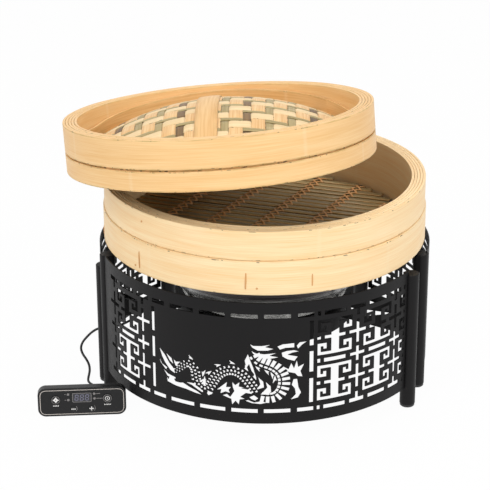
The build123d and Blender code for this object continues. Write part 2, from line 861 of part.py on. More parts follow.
with BuildPart() as terminal_block:
    with BuildSketch(Plane.XY.offset(housing_bottom)):
        with Locations(terminal_place):
            Rectangle(terminal_length, terminal_width)
    extrude(amount=terminal_height)
    with BuildSketch(Plane.XY.offset(housing_bottom + terminal_height)):
        with Locations(terminal_place):
            with GridLocations(terminal_pitch, 0, 3, 1):
                Circle(terminal_hole)
    extrude(amount=-terminal_depth, mode=Mode.SUBTRACT)
keep(terminal_block, "terminal_block")

# Mains inlet in the back of the housing
inlet_plane = wall_plane(180.0, housing_radius)
with BuildPart() as mains_inlet:
    with BuildSketch(inlet_plane):
        with Locations((0, inlet_middle)):
            Rectangle(inlet_width + 2 * inlet_side_wall, inlet_height + 2 * inlet_top_wall)
    extrude(amount=inlet_brim)
    with BuildSketch(inlet_plane):
        with Locations((0, inlet_middle)):
            Rectangle(inlet_width - 2 * fit_gap, inlet_height - 2 * fit_gap)
    extrude(amount=-inlet_depth)
    with BuildSketch(inlet_plane.offset(inlet_brim)):
        with Locations((0, inlet_middle)):
            Rectangle(inlet_width - 2 * inlet_side_wall, inlet_height - 2 * inlet_top_wall)
    extrude(amount=-inlet_well, mode=Mode.SUBTRACT)
keep(mains_inlet, "mains_inlet")

with BuildPart() as inlet_pins:
    with BuildSketch(inlet_plane.offset(-pin_root)):
        with Locations((0, inlet_middle)):
            with GridLocations(pin_pitch, 0, 3, 1):
                Rectangle(pin_width, pin_height)
    extrude(amount=pin_length)
keep(inlet_pins, "inlet_pins")

# Gland of the control lead in the housing's wall, and its grommet in the back screen
housing_gland_plane = wall_plane(lead_exit_angle, housing_radius)
with BuildPart() as lead_gland:
    with BuildSketch(housing_gland_plane.offset(-lead_gland_inside)):
        with Locations((0, lead_gland_height)):
            Circle(gland_radius)
    extrude(amount=lead_gland_inside + lead_gland_step)
    with BuildSketch(housing_gland_plane.offset(lead_gland_step)):
        with Locations((0, lead_gland_height)):
            Circle(gland_radius + lead_gland_brim)
    extrude(amount=lead_gland_brim_thickness)
    with BuildSketch(housing_gland_plane.offset(lead_gland_step + lead_gland_brim_thickness)):
        with Locations((0, lead_gland_height)):
            Circle(gland_radius - lead_gland_neck)
    extrude(amount=lead_gland_length - lead_gland_step - lead_gland_brim_thickness, taper=lead_gland_taper)
keep(lead_gland, "lead_gland")

grommet_reach = grommet_brim_gap + grommet_brim_thickness
grommet_start = screen_inner - grommet_reach
grommet_outer_brim = stand_radius + grommet_brim_gap
with BuildPart() as lead_grommet:
    with BuildSketch(wall_plane(lead_exit_angle, grommet_start)):
        with Locations((0, lead_hole_height)):
            Circle(grommet_radius)
    extrude(amount=sheet + 2 * grommet_reach)
    with BuildSketch(*[wall_plane(lead_exit_angle, start) for start in (grommet_start, grommet_outer_brim)]):
        with Locations((0, lead_hole_height)):
            Circle(grommet_radius + grommet_brim)
    extrude(amount=grommet_brim_thickness)
    with BuildSketch(wall_plane(lead_exit_angle, grommet_start - cut_clear)):
        with Locations((0, lead_hole_height)):
            Circle(lead_radius + fit_gap)
    extrude(amount=sheet + 2 * grommet_reach + 2 * cut_clear, mode=Mode.SUBTRACT)
keep(lead_grommet, "lead_grommet")

# Water pan: straight at the bottom, then flared to a flange that carries the basket
pan_bottom = plate_top + fit_gap
pan_flange_top = pan_bottom + pan_height
pan_mouth_radius = rear_reach - post_radius - pan_clear
pan_flange_radius = pan_mouth_radius + pan_flange
pan_middle = pan_wall / 2
with BuildPart() as water_pan:
    with BuildSketch(Plane.XZ):
        with BuildLine():
            FilletPolyline(
                (0, pan_bottom + pan_middle),
                (pan_radius - pan_middle, pan_bottom + pan_middle),
                (pan_radius - pan_middle, pan_bottom + pan_straight),
                (pan_mouth_radius, pan_flange_top - pan_middle),
                (pan_flange_radius, pan_flange_top - pan_middle),
                (pan_flange_radius, pan_flange_top - pan_middle - pan_lip),
                radius=[pan_bend, pan_bend, pan_bend / 2, pan_lip_bend],
            )
        trace(line_width=pan_wall)
    revolve(axis=Axis.Z)
keep(water_pan, "water_pan")

# Hoops of the basket and of the lid: strips of bamboo, one round the other
layer_pitch = hoop_strip + hoop_gap
basket_bottom = pan_flange_top + fit_gap
basket_inner_radius = pan_flange_radius - basket_seat
basket_outer_radius = basket_inner_radius + hoop_layers * layer_pitch - hoop_gap
lid_inner_radius = basket_inner_radius - lid_narrower
lid_radius = lid_inner_radius + hoop_layers * layer_pitch - hoop_gap
peg_hole = peg_radius + fine_gap
peg_length = basket_outer_radius + lower_band_swell - basket_inner_radius


def hoop(inner, outer):
    """Plan of a hoop."""
    with BuildSketch(mode=Mode.PRIVATE) as plan:
        Circle(outer)
        Circle(inner, mode=Mode.SUBTRACT)
    return plan.sketch


def layer(inner_radius, number, swell=0.0):
    """Plan of one strip of a hoop, counted outwards from 0."""
    inner = inner_radius + number * layer_pitch
    return hoop(inner, inner + hoop_strip + swell)


def peg_plane(angle, height):
    """Upright plane inside the basket's wall, at a peg."""
    face = wall_plane(angle, basket_inner_radius - cut_clear)
    return Plane(face.origin + Vector(0, 0, basket_bottom + height), x_dir=face.x_dir, z_dir=face.z_dir)


peg_planes = [peg_plane(angle, height) for angle, height in basket_pegs]
band_seam = basket_bottom + lower_band_height
with BuildPart() as basket_inner_hoop:
    with BuildSketch(Plane.XY.offset(basket_bottom)):
        add(layer(basket_inner_radius, 0))
    extrude(amount=basket_height)
    with BuildSketch(*peg_planes):
        Circle(peg_hole)
    extrude(amount=peg_length + 2 * cut_clear, mode=Mode.SUBTRACT)
keep(basket_inner_hoop, "basket_inner_hoop")

with BuildPart() as basket_middle_hoops:
    with BuildSketch(Plane.XY.offset(basket_bottom)):
        add(layer(basket_inner_radius, 1))
        add(layer(basket_inner_radius, 2))
    extrude(amount=basket_height)
    with BuildSketch(*peg_planes):
        Circle(peg_hole)
    extrude(amount=peg_length + 2 * cut_clear, mode=Mode.SUBTRACT)
keep(basket_middle_hoops, "basket_middle_hoops")

with BuildPart() as basket_lower_bands:
    with BuildSketch(Plane.XY.offset(basket_bottom)):
        add(layer(basket_inner_radius, 3))
        add(layer(basket_inner_radius, 4, lower_band_swell))
    extrude(amount=lower_band_height)
    with BuildSketch(*peg_planes):
        Circle(peg_hole)
    extrude(amount=peg_length + 2 * cut_clear, mode=Mode.SUBTRACT)
keep(basket_lower_bands, "basket_lower_bands")

with BuildPart() as basket_upper_bands:
    with BuildSketch(Plane.XY.offset(band_seam + hoop_gap)):
        add(layer(basket_inner_radius, 3))
        add(layer(basket_inner_radius, 4))
    extrude(amount=basket_height - lower_band_height - hoop_gap)
    with BuildSketch(*peg_planes):
        Circle(peg_hole)
    extrude(amount=peg_length + 2 * cut_clear, mode=Mode.SUBTRACT)
keep(basket_upper_bands, "basket_upper_bands")

# Pegs driven through the wall, flush with the outer band
with BuildPart() as basket_pegs_part:
    for (angle, height), plane in zip(basket_pegs, peg_planes):
        swell = lower_band_swell if height < lower_band_height else 0.0
        with BuildSketch(plane.offset(cut_clear + peg_recess)):
            Circle(peg_radius)
        extrude(amount=basket_outer_radius + swell - basket_inner_radius - peg_recess)
keep(basket_pegs_part, "basket_pegs")

# Cane stitches on the lower band
with BuildPart() as basket_stitches_part:
    for angle, height, length in basket_stitches:
        with BuildSketch(wall_plane(angle, basket_outer_radius + lower_band_swell)):
            with Locations((0, basket_bottom + height)):
                SlotOverall(length, stitch_width, rotation=90)
        extrude(amount=stitch_rise)
keep(basket_stitches_part, "basket_stitches")

# Floor of the basket: a ledge hoop, battens across it, slats on the battens and cane lacing
ledge_outer = basket_inner_radius - hoop_gap
with BuildPart() as floor_hoop:
    with BuildSketch(Plane.XY.offset(basket_bottom)):
        add(hoop(ledge_outer - hoop_strip, ledge_outer))
    extrude(amount=floor_hoop_height)
keep(floor_hoop, "floor_hoop")

batten_bottom = basket_bottom + floor_hoop_height
floor_radius = basket_inner_radius - floor_gap
with BuildPart() as floor_battens:
    with BuildSketch(Plane.XY.offset(batten_bottom).rotated((0, 0, batten_angle))):
        with GridLocations(0, batten_pitch, 1, battens):
            Rectangle(2 * basket_inner_radius, batten_width)
        Circle(floor_radius, mode=Mode.INTERSECT)
    extrude(amount=batten_height)
keep(floor_battens, "floor_battens")

slat_bottom = batten_bottom + batten_height
slats = int(2 * floor_radius / slat_pitch)
with BuildPart() as floor_slats:
    with BuildSketch(Plane.XY.offset(slat_bottom).rotated((0, 0, slat_angle))):
        with GridLocations(0, slat_pitch, 1, slats):
            Rectangle(2 * basket_inner_radius, slat_width)
        Circle(floor_radius, mode=Mode.INTERSECT)
    extrude(amount=slat_thickness)
keep(floor_slats, "floor_slats")

lace_step = slat_pitch / sin(radians(batten_angle - slat_angle)) / 2
with BuildPart() as floor_lacing:
    with BuildSketch(Plane.XY.offset(slat_bottom + slat_thickness).rotated((0, 0, batten_angle))):
        for row in range(battens):
            row_y = (row - (battens - 1) / 2) * batten_pitch
            reach = sqrt((floor_radius - lace_end) ** 2 - (abs(row_y) + lace_swing) ** 2)
            steps = int(reach / lace_step)
            zigzag = [
                (step * lace_step, row_y + lace_swing * (-1) ** step)
                for step in range(-steps, steps + 1)
            ]
            with BuildLine():
                Polyline(*zigzag)
            trace(line_width=lace_width)
    extrude(amount=lace_thickness)
keep(floor_lacing, "floor_lacing")

# Lid: the same make as the basket, with a woven panel let into its top
lean = radians(lid_rise_front)
tip = radians(lid_rise_right)
lid_axes = Plane(
    (lid_x, lid_y, 0),
    x_dir=(cos(tip), 0, sin(tip)),
    z_dir=(-sin(tip) * cos(lean), sin(lean), cos(tip) * cos(lean)),
)
rest_turns = 3600
rest_reaches = 9


def lowest_over_rim():
    """Lowest point of the lid's lower face that lies over the basket's rim, with the lid's middle at 0."""
    lowest = []
    side = Vector(*lid_axes.x_dir)
    back = Vector(*lid_axes.y_dir)
    for ring in range(rest_reaches):
        reach = lid_inner_radius + (lid_radius - lid_inner_radius) * ring / (rest_reaches - 1)
        for step in range(rest_turns):
            turn = 2 * pi * step / rest_turns
            spot = side * (reach * cos(turn)) + back * (reach * sin(turn))
            from_axis = sqrt((spot.X + lid_x) ** 2 + (spot.Y + lid_y) ** 2)
            if basket_inner_radius <= from_axis <= basket_outer_radius:
                lowest.append(spot.Z)
    return min(lowest)


lid_z = basket_bottom + basket_height + lid_rest_gap - lowest_over_rim()
lid_plane = Plane((lid_x, lid_y, lid_z), x_dir=lid_axes.x_dir, z_dir=lid_axes.z_dir)
with BuildPart() as lid_inner_hoop:
    with BuildSketch(lid_plane):
        add(layer(lid_inner_radius, 0))
    extrude(amount=lid_height)
keep(lid_inner_hoop, "lid_inner_hoop")

with BuildPart() as lid_middle_hoops:
    with BuildSketch(lid_plane):
        add(layer(lid_inner_radius, 1))
        add(layer(lid_inner_radius, 2))
    extrude(amount=lid_height)
keep(lid_middle_hoops, "lid_middle_hoops")

with BuildPart() as lid_lower_bands:
    with BuildSketch(lid_plane):
        add(layer(lid_inner_radius, 3))
        add(layer(lid_inner_radius, 4))
    extrude(amount=lid_lower_band_height)
keep(lid_lower_bands, "lid_lower_bands")

with BuildPart() as lid_upper_bands:
    with BuildSketch(lid_plane.offset(lid_lower_band_height + hoop_gap)):
        add(layer(lid_inner_radius, 3))
        add(layer(lid_inner_radius, 4))
    extrude(amount=lid_height - lid_lower_band_height - hoop_gap)
keep(lid_upper_bands, "lid_upper_bands")

# The woven panel is a dome: its top lies on a sphere whose middle is on the lid's axis
panel_radius = lid_inner_radius - hoop_gap
dome_radius = (panel_radius**2 + panel_rise**2) / (2 * panel_rise)
dome_middle = panel_edge_height + panel_rise - dome_radius
lid_upright = Plane(lid_plane.origin, x_dir=lid_plane.x_dir, z_dir=-lid_plane.y_dir)
lid_side = Plane(lid_plane.origin, x_dir=lid_plane.y_dir, z_dir=lid_plane.x_dir)
lid_axis = Axis(lid_plane.origin, lid_plane.z_dir)


def dome_height(inset, reach):
    """Height over the lid's lower face of the sphere that lies inset under the panel's top."""
    return dome_middle + sqrt((dome_radius - inset) ** 2 - reach**2)


def dome_section(upper, lower, reach):
    """Half section of a layer of the dome, between two depths under the panel's top."""
    with BuildSketch(mode=Mode.PRIVATE) as section:
        with BuildLine():
            ThreePointArc(
                (0, dome_height(upper, 0)), (reach / 2, dome_height(upper, reach / 2)),
                (reach, dome_height(upper, reach)),
            )
            Line((reach, dome_height(upper, reach)), (reach, dome_height(lower, reach)))
            ThreePointArc(
                (reach, dome_height(lower, reach)), (reach / 2, dome_height(lower, reach / 2)),
                (0, dome_height(lower, 0)),
            )
            Line((0, dome_height(lower, 0)), (0, dome_height(upper, 0)))
        make_face()
    return section.sketch


with BuildPart() as woven_panel:
    with BuildSketch(lid_upright):
        add(dome_section(0.0, panel_thickness, panel_radius))
    revolve(axis=lid_axis)
keep(woven_panel, "woven_panel")

with BuildPart() as lid_lining:
    with BuildSketch(lid_upright):
        add(dome_section(panel_thickness, panel_thickness + lining_thickness, panel_radius))
    revolve(axis=lid_axis)
keep(lid_lining, "lid_lining")

# Hoop that holds the panel down: it stands on the dome's edge, and is higher at the back
retaining_inner = panel_radius - hoop_strip
retaining_bottom = dome_height(0.0, retaining_inner)
retaining_low = panel_edge_height + retaining_height
retaining_high = panel_edge_height + retaining_back_height
with BuildPart() as retaining_hoop:
    with BuildSketch(lid_plane.offset(retaining_bottom)):
        add(hoop(retaining_inner, panel_radius))
    extrude(amount=retaining_high - retaining_bottom)
    with BuildSketch(lid_side):
        Polygon(
            (-lid_radius, 0), (lid_radius, 0), (lid_radius, retaining_high), (panel_radius, retaining_high),
            (retaining_bend, retaining_low), (-lid_radius, retaining_low),
            align=None,
        )
    extrude(amount=lid_radius, both=True, mode=Mode.INTERSECT)
keep(retaining_hoop, "retaining_hoop")

support_top = dome_height(panel_thickness + lining_thickness, panel_radius)
with BuildPart() as support_hoop:
    with BuildSketch(lid_plane.offset(support_top - support_height)):
        add(hoop(panel_radius - hoop_strip, panel_radius))
    extrude(amount=support_height)
keep(support_hoop, "support_hoop")

# Wide slat over the dome, from the front to the back
slat_reach = retaining_inner - hoop_gap
with BuildPart() as centre_slat:
    with BuildSketch(lid_upright):
        add(dome_section(-centre_slat_thickness, 0.0, slat_reach))
    revolve(axis=lid_axis)
    with BuildSketch(lid_plane):
        with Locations((centre_slat_shift, 0)):
            Rectangle(centre_slat_width, 2 * lid_radius)
    extrude(amount=lid_height + lid_radius, mode=Mode.INTERSECT)
keep(centre_slat, "centre_slat")

with BuildPart() as lid_stitches_part:
    for angle, height, length in lid_stitches:
        with BuildSketch(wall_plane(angle, lid_radius, lid_plane)):
            with Locations((0, height)):
                SlotOverall(length, stitch_width, rotation=90)
        extrude(amount=stitch_rise)
keep(lid_stitches_part, "lid_stitches")

# Wired control: two shells, four keys, a window, lamps, a board and two screws
control_x, control_y = around(control_angle, stand_radius + control_beside)
control_middle = control_height / 2
control_way = wall_plane(control_turn, 0.0)
control_face = Plane((control_x, control_y, control_middle), x_dir=control_way.x_dir, z_dir=control_way.z_dir)
round_keys = [mode_place, power_place]
small_keys = [minus_place, plus_place]
board_inset = control_wall + board_edge_gap
back_depth = board_depth + board_thickness + back_room
control_depth = back_depth + control_wall
window_sunk = window_thickness - window_proud
screw_x = control_length / 2 - control_screw_inset
control_screws = [(-screw_x, 0), (screw_x, 0)]


def control_outline(inset):
    """Outline of the control, drawn in from its edge, on its face."""
    with BuildSketch(mode=Mode.PRIVATE) as outline:
        corner = control_corner - inset * corner_follow
        RectangleRounded(control_length - 2 * inset, control_height - 2 * inset, corner)
    return outline.sketch


def front_edges(piece):
    """Edges of the face that looks furthest out of the control."""
    return piece.faces().sort_by(Axis((0, 0, 0), tuple(control_face.z_dir)))[-1].edges()


with BuildPart() as control_front_shell:
    with BuildSketch(control_face):
        add(control_outline(0.0))
    extrude(amount=-control_split)
    fillet(front_edges(control_front_shell), control_front_round)
    with BuildSketch(control_face.offset(-control_wall)):
        add(control_outline(control_wall))
    extrude(amount=-control_split, mode=Mode.SUBTRACT)
    with BuildSketch(control_face.offset(-control_wall)):
        with Locations(*control_screws):
            Circle(control_screw_radius + screw_boss_wall)
    extrude(amount=control_wall - board_depth)
    with BuildSketch(control_face):
        with Locations(*round_keys):
            Circle(round_key_radius + key_gap)
        with Locations(*small_keys):
            Circle(small_key_radius + key_gap)
        with Locations(*lamp_places):
            Circle(lamp_radius)
        with Locations(window_place):
            Rectangle(window_length - 2 * window_ledge, window_height - 2 * window_ledge)
    extrude(amount=-control_wall, mode=Mode.SUBTRACT)
    with BuildSketch(control_face):
        add(control_outline(trim_inset))
        add(control_outline(trim_inset + trim_width), mode=Mode.SUBTRACT)
        with Locations(window_place):
            RectangleRounded(window_length + fine_gap, window_height + fine_gap, window_corner + fine_gap / 2)
    extrude(amount=-window_sunk, mode=Mode.SUBTRACT)
    with BuildSketch(control_face.offset(-board_depth)):
        with Locations(*control_screws):
            Circle(control_screw_radius + thread_gap)
    extrude(amount=board_depth - control_wall, mode=Mode.SUBTRACT)
keep(control_front_shell, "control_front_shell")

with BuildPart() as control_back_shell:
    with BuildSketch(control_face.offset(-control_depth)):
        add(control_outline(0.0))
    extrude(amount=control_depth - control_split)
    back_face = control_back_shell.faces().sort_by(Axis((0, 0, 0), tuple(control_face.z_dir)))[0]
    fillet(back_face.edges(), control_back_round)
    with BuildSketch(control_face.offset(-back_depth)):
        add(control_outline(control_wall))
    extrude(amount=back_depth, mode=Mode.SUBTRACT)
    with BuildSketch(control_face.offset(-back_depth)):
        with Locations(*control_screws):
            Circle(control_screw_head + screw_seat_wall)
    extrude(amount=back_room)
    with BuildSketch(control_face.offset(-control_depth)):
        with Locations(*control_screws):
            Circle(control_screw_radius + screw_seat_gap)
    extrude(amount=control_depth, mode=Mode.SUBTRACT)
    with BuildSketch(control_face.offset(-control_depth)):
        with Locations(*control_screws):
            Circle(control_screw_head + screw_seat_gap)
    extrude(amount=screw_seat_depth, mode=Mode.SUBTRACT)
    with BuildSketch(control_face.offset(-control_depth)):
        with Locations(control_gland_place):
            Circle(gland_radius + fine_gap)
    extrude(amount=control_wall, mode=Mode.SUBTRACT)
keep(control_back_shell, "control_back_shell")

with BuildPart() as control_trim:
    with BuildSketch(control_face.offset(-trim_thickness)):
        add(control_outline(trim_inset + thread_gap))
        add(control_outline(trim_inset + trim_width - thread_gap), mode=Mode.SUBTRACT)
    extrude(amount=trim_thickness)
keep(control_trim, "control_trim")

with BuildPart() as display_window:
    with BuildSketch(control_face.offset(-window_sunk)):
        with Locations(window_place):
            RectangleRounded(window_length, window_height, window_corner)
    extrude(amount=window_thickness)
keep(display_window, "display_window")

with BuildPart() as display_module:
    with BuildSketch(control_face.offset(-board_depth)):
        with Locations(window_place):
            Rectangle(window_length - 2 * module_inset, window_height - 2 * module_inset)
    extrude(amount=board_depth - window_thickness)
keep(display_module, "display_module")

with BuildPart() as indicator_lamps:
    with BuildSketch(control_face.offset(-control_wall - lamp_flange_thickness)):
        with Locations(*lamp_places):
            Circle(lamp_radius + lamp_flange)
    extrude(amount=lamp_flange_thickness)
    with BuildSketch(control_face.offset(-control_wall)):
        with Locations(*lamp_places):
            Circle(lamp_radius - thread_gap)
    extrude(amount=control_wall + lamp_proud)
keep(indicator_lamps, "indicator_lamps")

keys = {
    "mode_key": (mode_place, round_key_radius),
    "power_key": (power_place, round_key_radius),
    "minus_key": (minus_place, small_key_radius),
    "plus_key": (plus_place, small_key_radius),
}
flange_top = control_wall + key_gap
stem_length = board_depth - switch_height - key_stop_gap - key_travel - flange_top - key_flange_thickness
for label, (place, radius) in keys.items():
    with BuildPart() as key:
        with BuildSketch(control_face.offset(-flange_top)):
            with Locations(place):
                Circle(radius)
        extrude(amount=flange_top + key_proud)
        fillet(front_edges(key), key_round)
        with BuildSketch(control_face.offset(-flange_top)):
            with Locations(place):
                Circle(radius + key_flange)
        extrude(amount=-key_flange_thickness)
        with BuildSketch(control_face.offset(-flange_top - key_flange_thickness)):
            with Locations(place):
                Circle(key_stem_radius)
        extrude(amount=-stem_length)
    keep(key, label)

with BuildPart() as control_board:
    with BuildSketch(control_face.offset(-board_depth)):
        RectangleRounded(control_length - 2 * board_inset, control_height - 2 * board_inset, board_corner)
        with Locations(*control_screws):
            Circle(control_screw_radius + screw_board_gap, mode=Mode.SUBTRACT)
    extrude(amount=-board_thickness)
keep(control_board, "control_board")

with BuildPart() as key_switches:
    with BuildSketch(control_face.offset(-board_depth)):
        with Locations(*(round_keys + small_keys)):
            Rectangle(switch_size, switch_size)
    extrude(amount=switch_height)
keep(key_switches, "key_switches")

with BuildPart() as control_screw_set:
    with BuildSketch(control_face.offset(-control_depth + screw_head_depth)):
        with Locations(*control_screws):
            Circle(control_screw_head)
    extrude(amount=screw_seat_depth - screw_head_depth)
    with BuildSketch(control_face.offset(-control_depth + screw_seat_depth)):
        with Locations(*control_screws):
            Circle(control_screw_radius)
    extrude(amount=control_depth - screw_seat_depth - control_wall - screw_front_gap)
    with BuildSketch(control_face.offset(-control_depth + screw_head_depth)):
        with Locations(*control_screws):
            Rectangle(control_screw_slot, control_screw_slot_width)
            Rectangle(control_screw_slot_width, control_screw_slot)
    extrude(amount=control_screw_slot_depth, mode=Mode.SUBTRACT)
keep(control_screw_set, "control_screws")

gland_plane = Plane(
    control_face.from_local_coords((*control_gland_place, -control_depth)),
    x_dir=control_face.x_dir,
    z_dir=-control_face.z_dir,
)
with BuildPart() as control_gland:
    with BuildSketch(gland_plane.offset(-control_wall)):
        Circle(gland_radius)
    extrude(amount=control_wall)
    with BuildSketch(gland_plane):
        Circle(gland_radius)
    extrude(amount=gland_length, taper=gland_taper)
keep(control_gland, "control_gland")

# Control lead: out of the heater's gland, through the back screen and down to the control.
# Its points are chosen along the lead in the picture, seen from the front.
gland_tip = around(lead_exit_angle, housing_radius + lead_gland_length)
control_tip = gland_plane.from_local_coords((0, 0, gland_length))
control_near = gland_plane.from_local_coords((0, 0, gland_length + lead_near))
lead_route = [
    (gland_tip[0], gland_tip[1], lead_gland_height),
    (-127.0, -11.1, 95.5),
    (-139.5, -12.2, 92.0),
    (-155.0, -13.6, 82.0),
    (-170.0, -14.9, 71.0),
    (-184.0, -16.1, 64.5),
    (-197.0, -17.2, 63.0),
    (-209.5, -18.3, 62.6),
    (-218.0, -19.2, 57.6),
    (-225.0, -20.2, 50.6),
    (-230.6, -21.6, 43.8),
    (-232.6, -23.6, 36.6),
    (-230.2, -26.2, 30.0),
    (-225.4, -29.2, 24.4),
    (-221.6, -32.2, 17.8),
    (-220.8, -35.2, 10.8),
    (-222.2, -39.6, 5.2),
    (-222.6, -46.0, 2.2),
    (-219.4, -52.6, 1.6),
    (-213.6, -58.2, 1.6),
    (-208.4, -65.4, 1.6),
    (-205.9, -75.5, 1.8),
    (-205.2, -87.0, 3.6),
    (-204.9, -98.0, 6.8),
    tuple(control_near),
    tuple(control_tip),
]


def route_radii(route):
    """Radius at each inner point: as large as its two runs allow."""
    radii = []
    for before, here, after in zip(route, route[1:], route[2:]):
        arrive = Vector(*here) - Vector(*before)
        leave = Vector(*after) - Vector(*here)
        turn = radians(arrive.get_angle(leave))
        radii.append(0.45 * min(arrive.length, leave.length) / tan(turn / 2))
    return radii


lead_radii = route_radii(lead_route)
lead_path = FilletPolyline(*lead_route, radius=lead_radii)
lead_start = Vector(*lead_route[1]) - Vector(*lead_route[0])
with BuildPart() as control_lead:
    with BuildSketch(Plane(lead_route[0], z_dir=lead_start)):
        Circle(lead_radius)
    sweep(path=lead_path)
keep(control_lead, "control_lead")

print("lead radii", [round(radius, 1) for radius in lead_radii])
print("lead length", round(lead_path.length, 1))
print("lead volume", round(control_lead.part.volume, 1))
print("section times length", round(lead_path.length * pi * lead_radius**2, 1))
print("lid height", round(lid_z, 3), "control", round(control_x, 3), round(control_y, 3))
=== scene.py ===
"""Looks of a table dumpling steamer: bamboo basket and lid on a perforated black steel stand.

Metres, +Z up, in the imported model's frame. Pieces that show from close by are built here around the
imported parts; the rest of the parts keep their shape and get a finish.
"""
import math
import random

import bmesh
import bpy
from bpy.props import FloatProperty, FloatVectorProperty, IntProperty, PointerProperty
from mathutils import Matrix, Vector


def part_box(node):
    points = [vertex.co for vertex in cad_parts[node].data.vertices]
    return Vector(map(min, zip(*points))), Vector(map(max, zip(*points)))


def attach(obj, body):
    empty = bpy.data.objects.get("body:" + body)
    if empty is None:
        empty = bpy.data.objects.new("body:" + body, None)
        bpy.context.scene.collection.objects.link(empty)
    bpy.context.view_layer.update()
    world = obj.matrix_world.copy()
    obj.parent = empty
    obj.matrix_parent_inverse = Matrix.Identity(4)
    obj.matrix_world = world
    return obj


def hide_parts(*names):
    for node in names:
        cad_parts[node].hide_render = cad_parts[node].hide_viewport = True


bl_info = {
    "name": "Dumpling Steamer",
    "version": (1, 0, 0),
    "blender": (4, 5, 0),
    "location": "View3D > Sidebar > Steamer",
    "description": "Bamboo basket, woven lid, perforated stand and wired control of a table dumpling steamer",
    "category": "Add Mesh",
}

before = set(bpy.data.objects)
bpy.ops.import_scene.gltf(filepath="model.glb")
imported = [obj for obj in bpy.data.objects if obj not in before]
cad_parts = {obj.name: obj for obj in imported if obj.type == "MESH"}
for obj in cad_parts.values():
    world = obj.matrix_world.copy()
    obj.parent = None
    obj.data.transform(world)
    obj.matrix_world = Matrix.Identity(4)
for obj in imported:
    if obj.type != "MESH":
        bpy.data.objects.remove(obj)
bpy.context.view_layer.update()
MM = 0.001
UV_NAME = "Strip"
EDGE_NAME = "edge"

# Strips that the basket and the lid are rolled from
STRIP = 3.2 * MM
STRIP_GAP = 0.3 * MM
LAYER_PITCH = STRIP + STRIP_GAP
BASKET_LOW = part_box("basket_middle_hoops")[0].z
BASKET_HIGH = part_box("basket_middle_hoops")[1].z
BASKET_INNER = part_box("basket_inner_hoop")[1].x - STRIP
BASKET_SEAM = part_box("basket_lower_bands")[1].z

# The lid lies on the rim, higher at the front and at the right
LID_ORIGIN = Vector((-51.6, -34.7, 298.5)) * MM
LID_RISE_FRONT = math.radians(8.30)
LID_RISE_RIGHT = math.radians(4.19)
LID_INNER = 169.4 * MM
LID_HEIGHT = 59.4 * MM
LID_SEAM = 25.0 * MM

# The woven panel is a dome on a sphere whose middle lies on the lid's axis
PANEL_RADIUS = LID_INNER - STRIP_GAP
PANEL_EDGE = 19.0 * MM
PANEL_RISE = 50.0 * MM
PANEL_THICK = 3.0 * MM
DOME_RADIUS = (PANEL_RADIUS ** 2 + PANEL_RISE ** 2) / (2 * PANEL_RISE)
DOME_MIDDLE = PANEL_EDGE + PANEL_RISE - DOME_RADIUS

# The hoop that holds the panel down is higher at the back
RETAINING_INNER = PANEL_RADIUS - STRIP
WEAVE_REACH = RETAINING_INNER - 0.6 * MM
RETAINING_TOP = PANEL_EDGE + 18.0 * MM
RETAINING_BACK_TOP = PANEL_EDGE + 35.0 * MM
RETAINING_BEND = 60.0 * MM

# The control's face: a point at the middle of its lower edge, and its turn
CONTROL_PLACE = Vector((-221.31, -135.51, 0.0)) * MM
CONTROL_TURN = math.radians(4.5)


def lid_frame():
    """Matrix from the lid's own frame to the model's."""
    tip, lean = LID_RISE_RIGHT, LID_RISE_FRONT
    side = Vector((math.cos(tip), 0.0, math.sin(tip)))
    up = Vector((-math.sin(tip) * math.cos(lean), math.sin(lean), math.cos(tip) * math.cos(lean)))
    back = up.cross(side)
    turn = Matrix((side, back, up)).transposed()
    return Matrix.Translation(LID_ORIGIN) @ turn.to_4x4()


def control_frame():
    """Matrix whose X runs along the control's face, Y up it and Z out of it."""
    side = Vector((math.cos(CONTROL_TURN), math.sin(CONTROL_TURN), 0.0))
    out = Vector((math.sin(CONTROL_TURN), -math.cos(CONTROL_TURN), 0.0))
    turn = Matrix((side, Vector((0.0, 0.0, 1.0)), out)).transposed()
    return Matrix.Translation(CONTROL_PLACE) @ turn.to_4x4()


def on_dome(x, y, level):
    """Point of the lid over the plan place (x, y), level metres out from the panel's top."""
    height = math.sqrt(DOME_RADIUS ** 2 - x * x - y * y)
    return Vector((x, y, height)) * (1 + level / DOME_RADIUS) + Vector((0.0, 0.0, DOME_MIDDLE))


def srgb(code):
    """Linear colour of an sRGB hex value, with full alpha."""
    parts = [int(code[i:i + 2], 16) / 255 for i in (1, 3, 5)]
    return tuple(p / 12.92 if p <= 0.04045 else ((p + 0.055) / 1.055) ** 2.4 for p in parts) + (1.0,)


def length(name, description, default):
    """A length that a user may change."""
    return FloatProperty(name=name, description=description, default=default, unit="LENGTH", precision=4)


def colour(name, description, default):
    """A colour that a user may change."""
    return FloatVectorProperty(name=name, description=description, default=srgb(default), subtype="COLOR",
                               size=4, min=0.0, max=1.0)


class BambooSettings(bpy.types.PropertyGroup):
    """Colours of the bamboo."""
    basket_light: colour("Basket, light", "Light fibres of the basket's strips", "#FFE7BC")
    basket_deep: colour("Basket, deep", "Deeper fibres of the basket's strips", "#F6CD92")
    lid_light: colour("Lid, light", "Light fibres of the lid's strips", "#F8D29A")
    lid_deep: colour("Lid, deep", "Deeper fibres of the lid's strips", "#EBB978")
    skin: colour("Skin", "Olive skin left along a strip's edges", "#B49A5A")


class BasketSettings(bpy.types.PropertyGroup):
    """Sizes of the basket's looks."""
    rounding: length("Edge rounding", "Radius of a strip's planed corners", 0.55 * MM)
    swell: length("Lower swell", "How much thicker the lower outer strip is", 1.4 * MM)
    wave: length("Wave", "How far the hoops are out of round", 0.5 * MM)
    columns: IntProperty(name="Columns", description="Steps round a hoop", default=224, min=48)


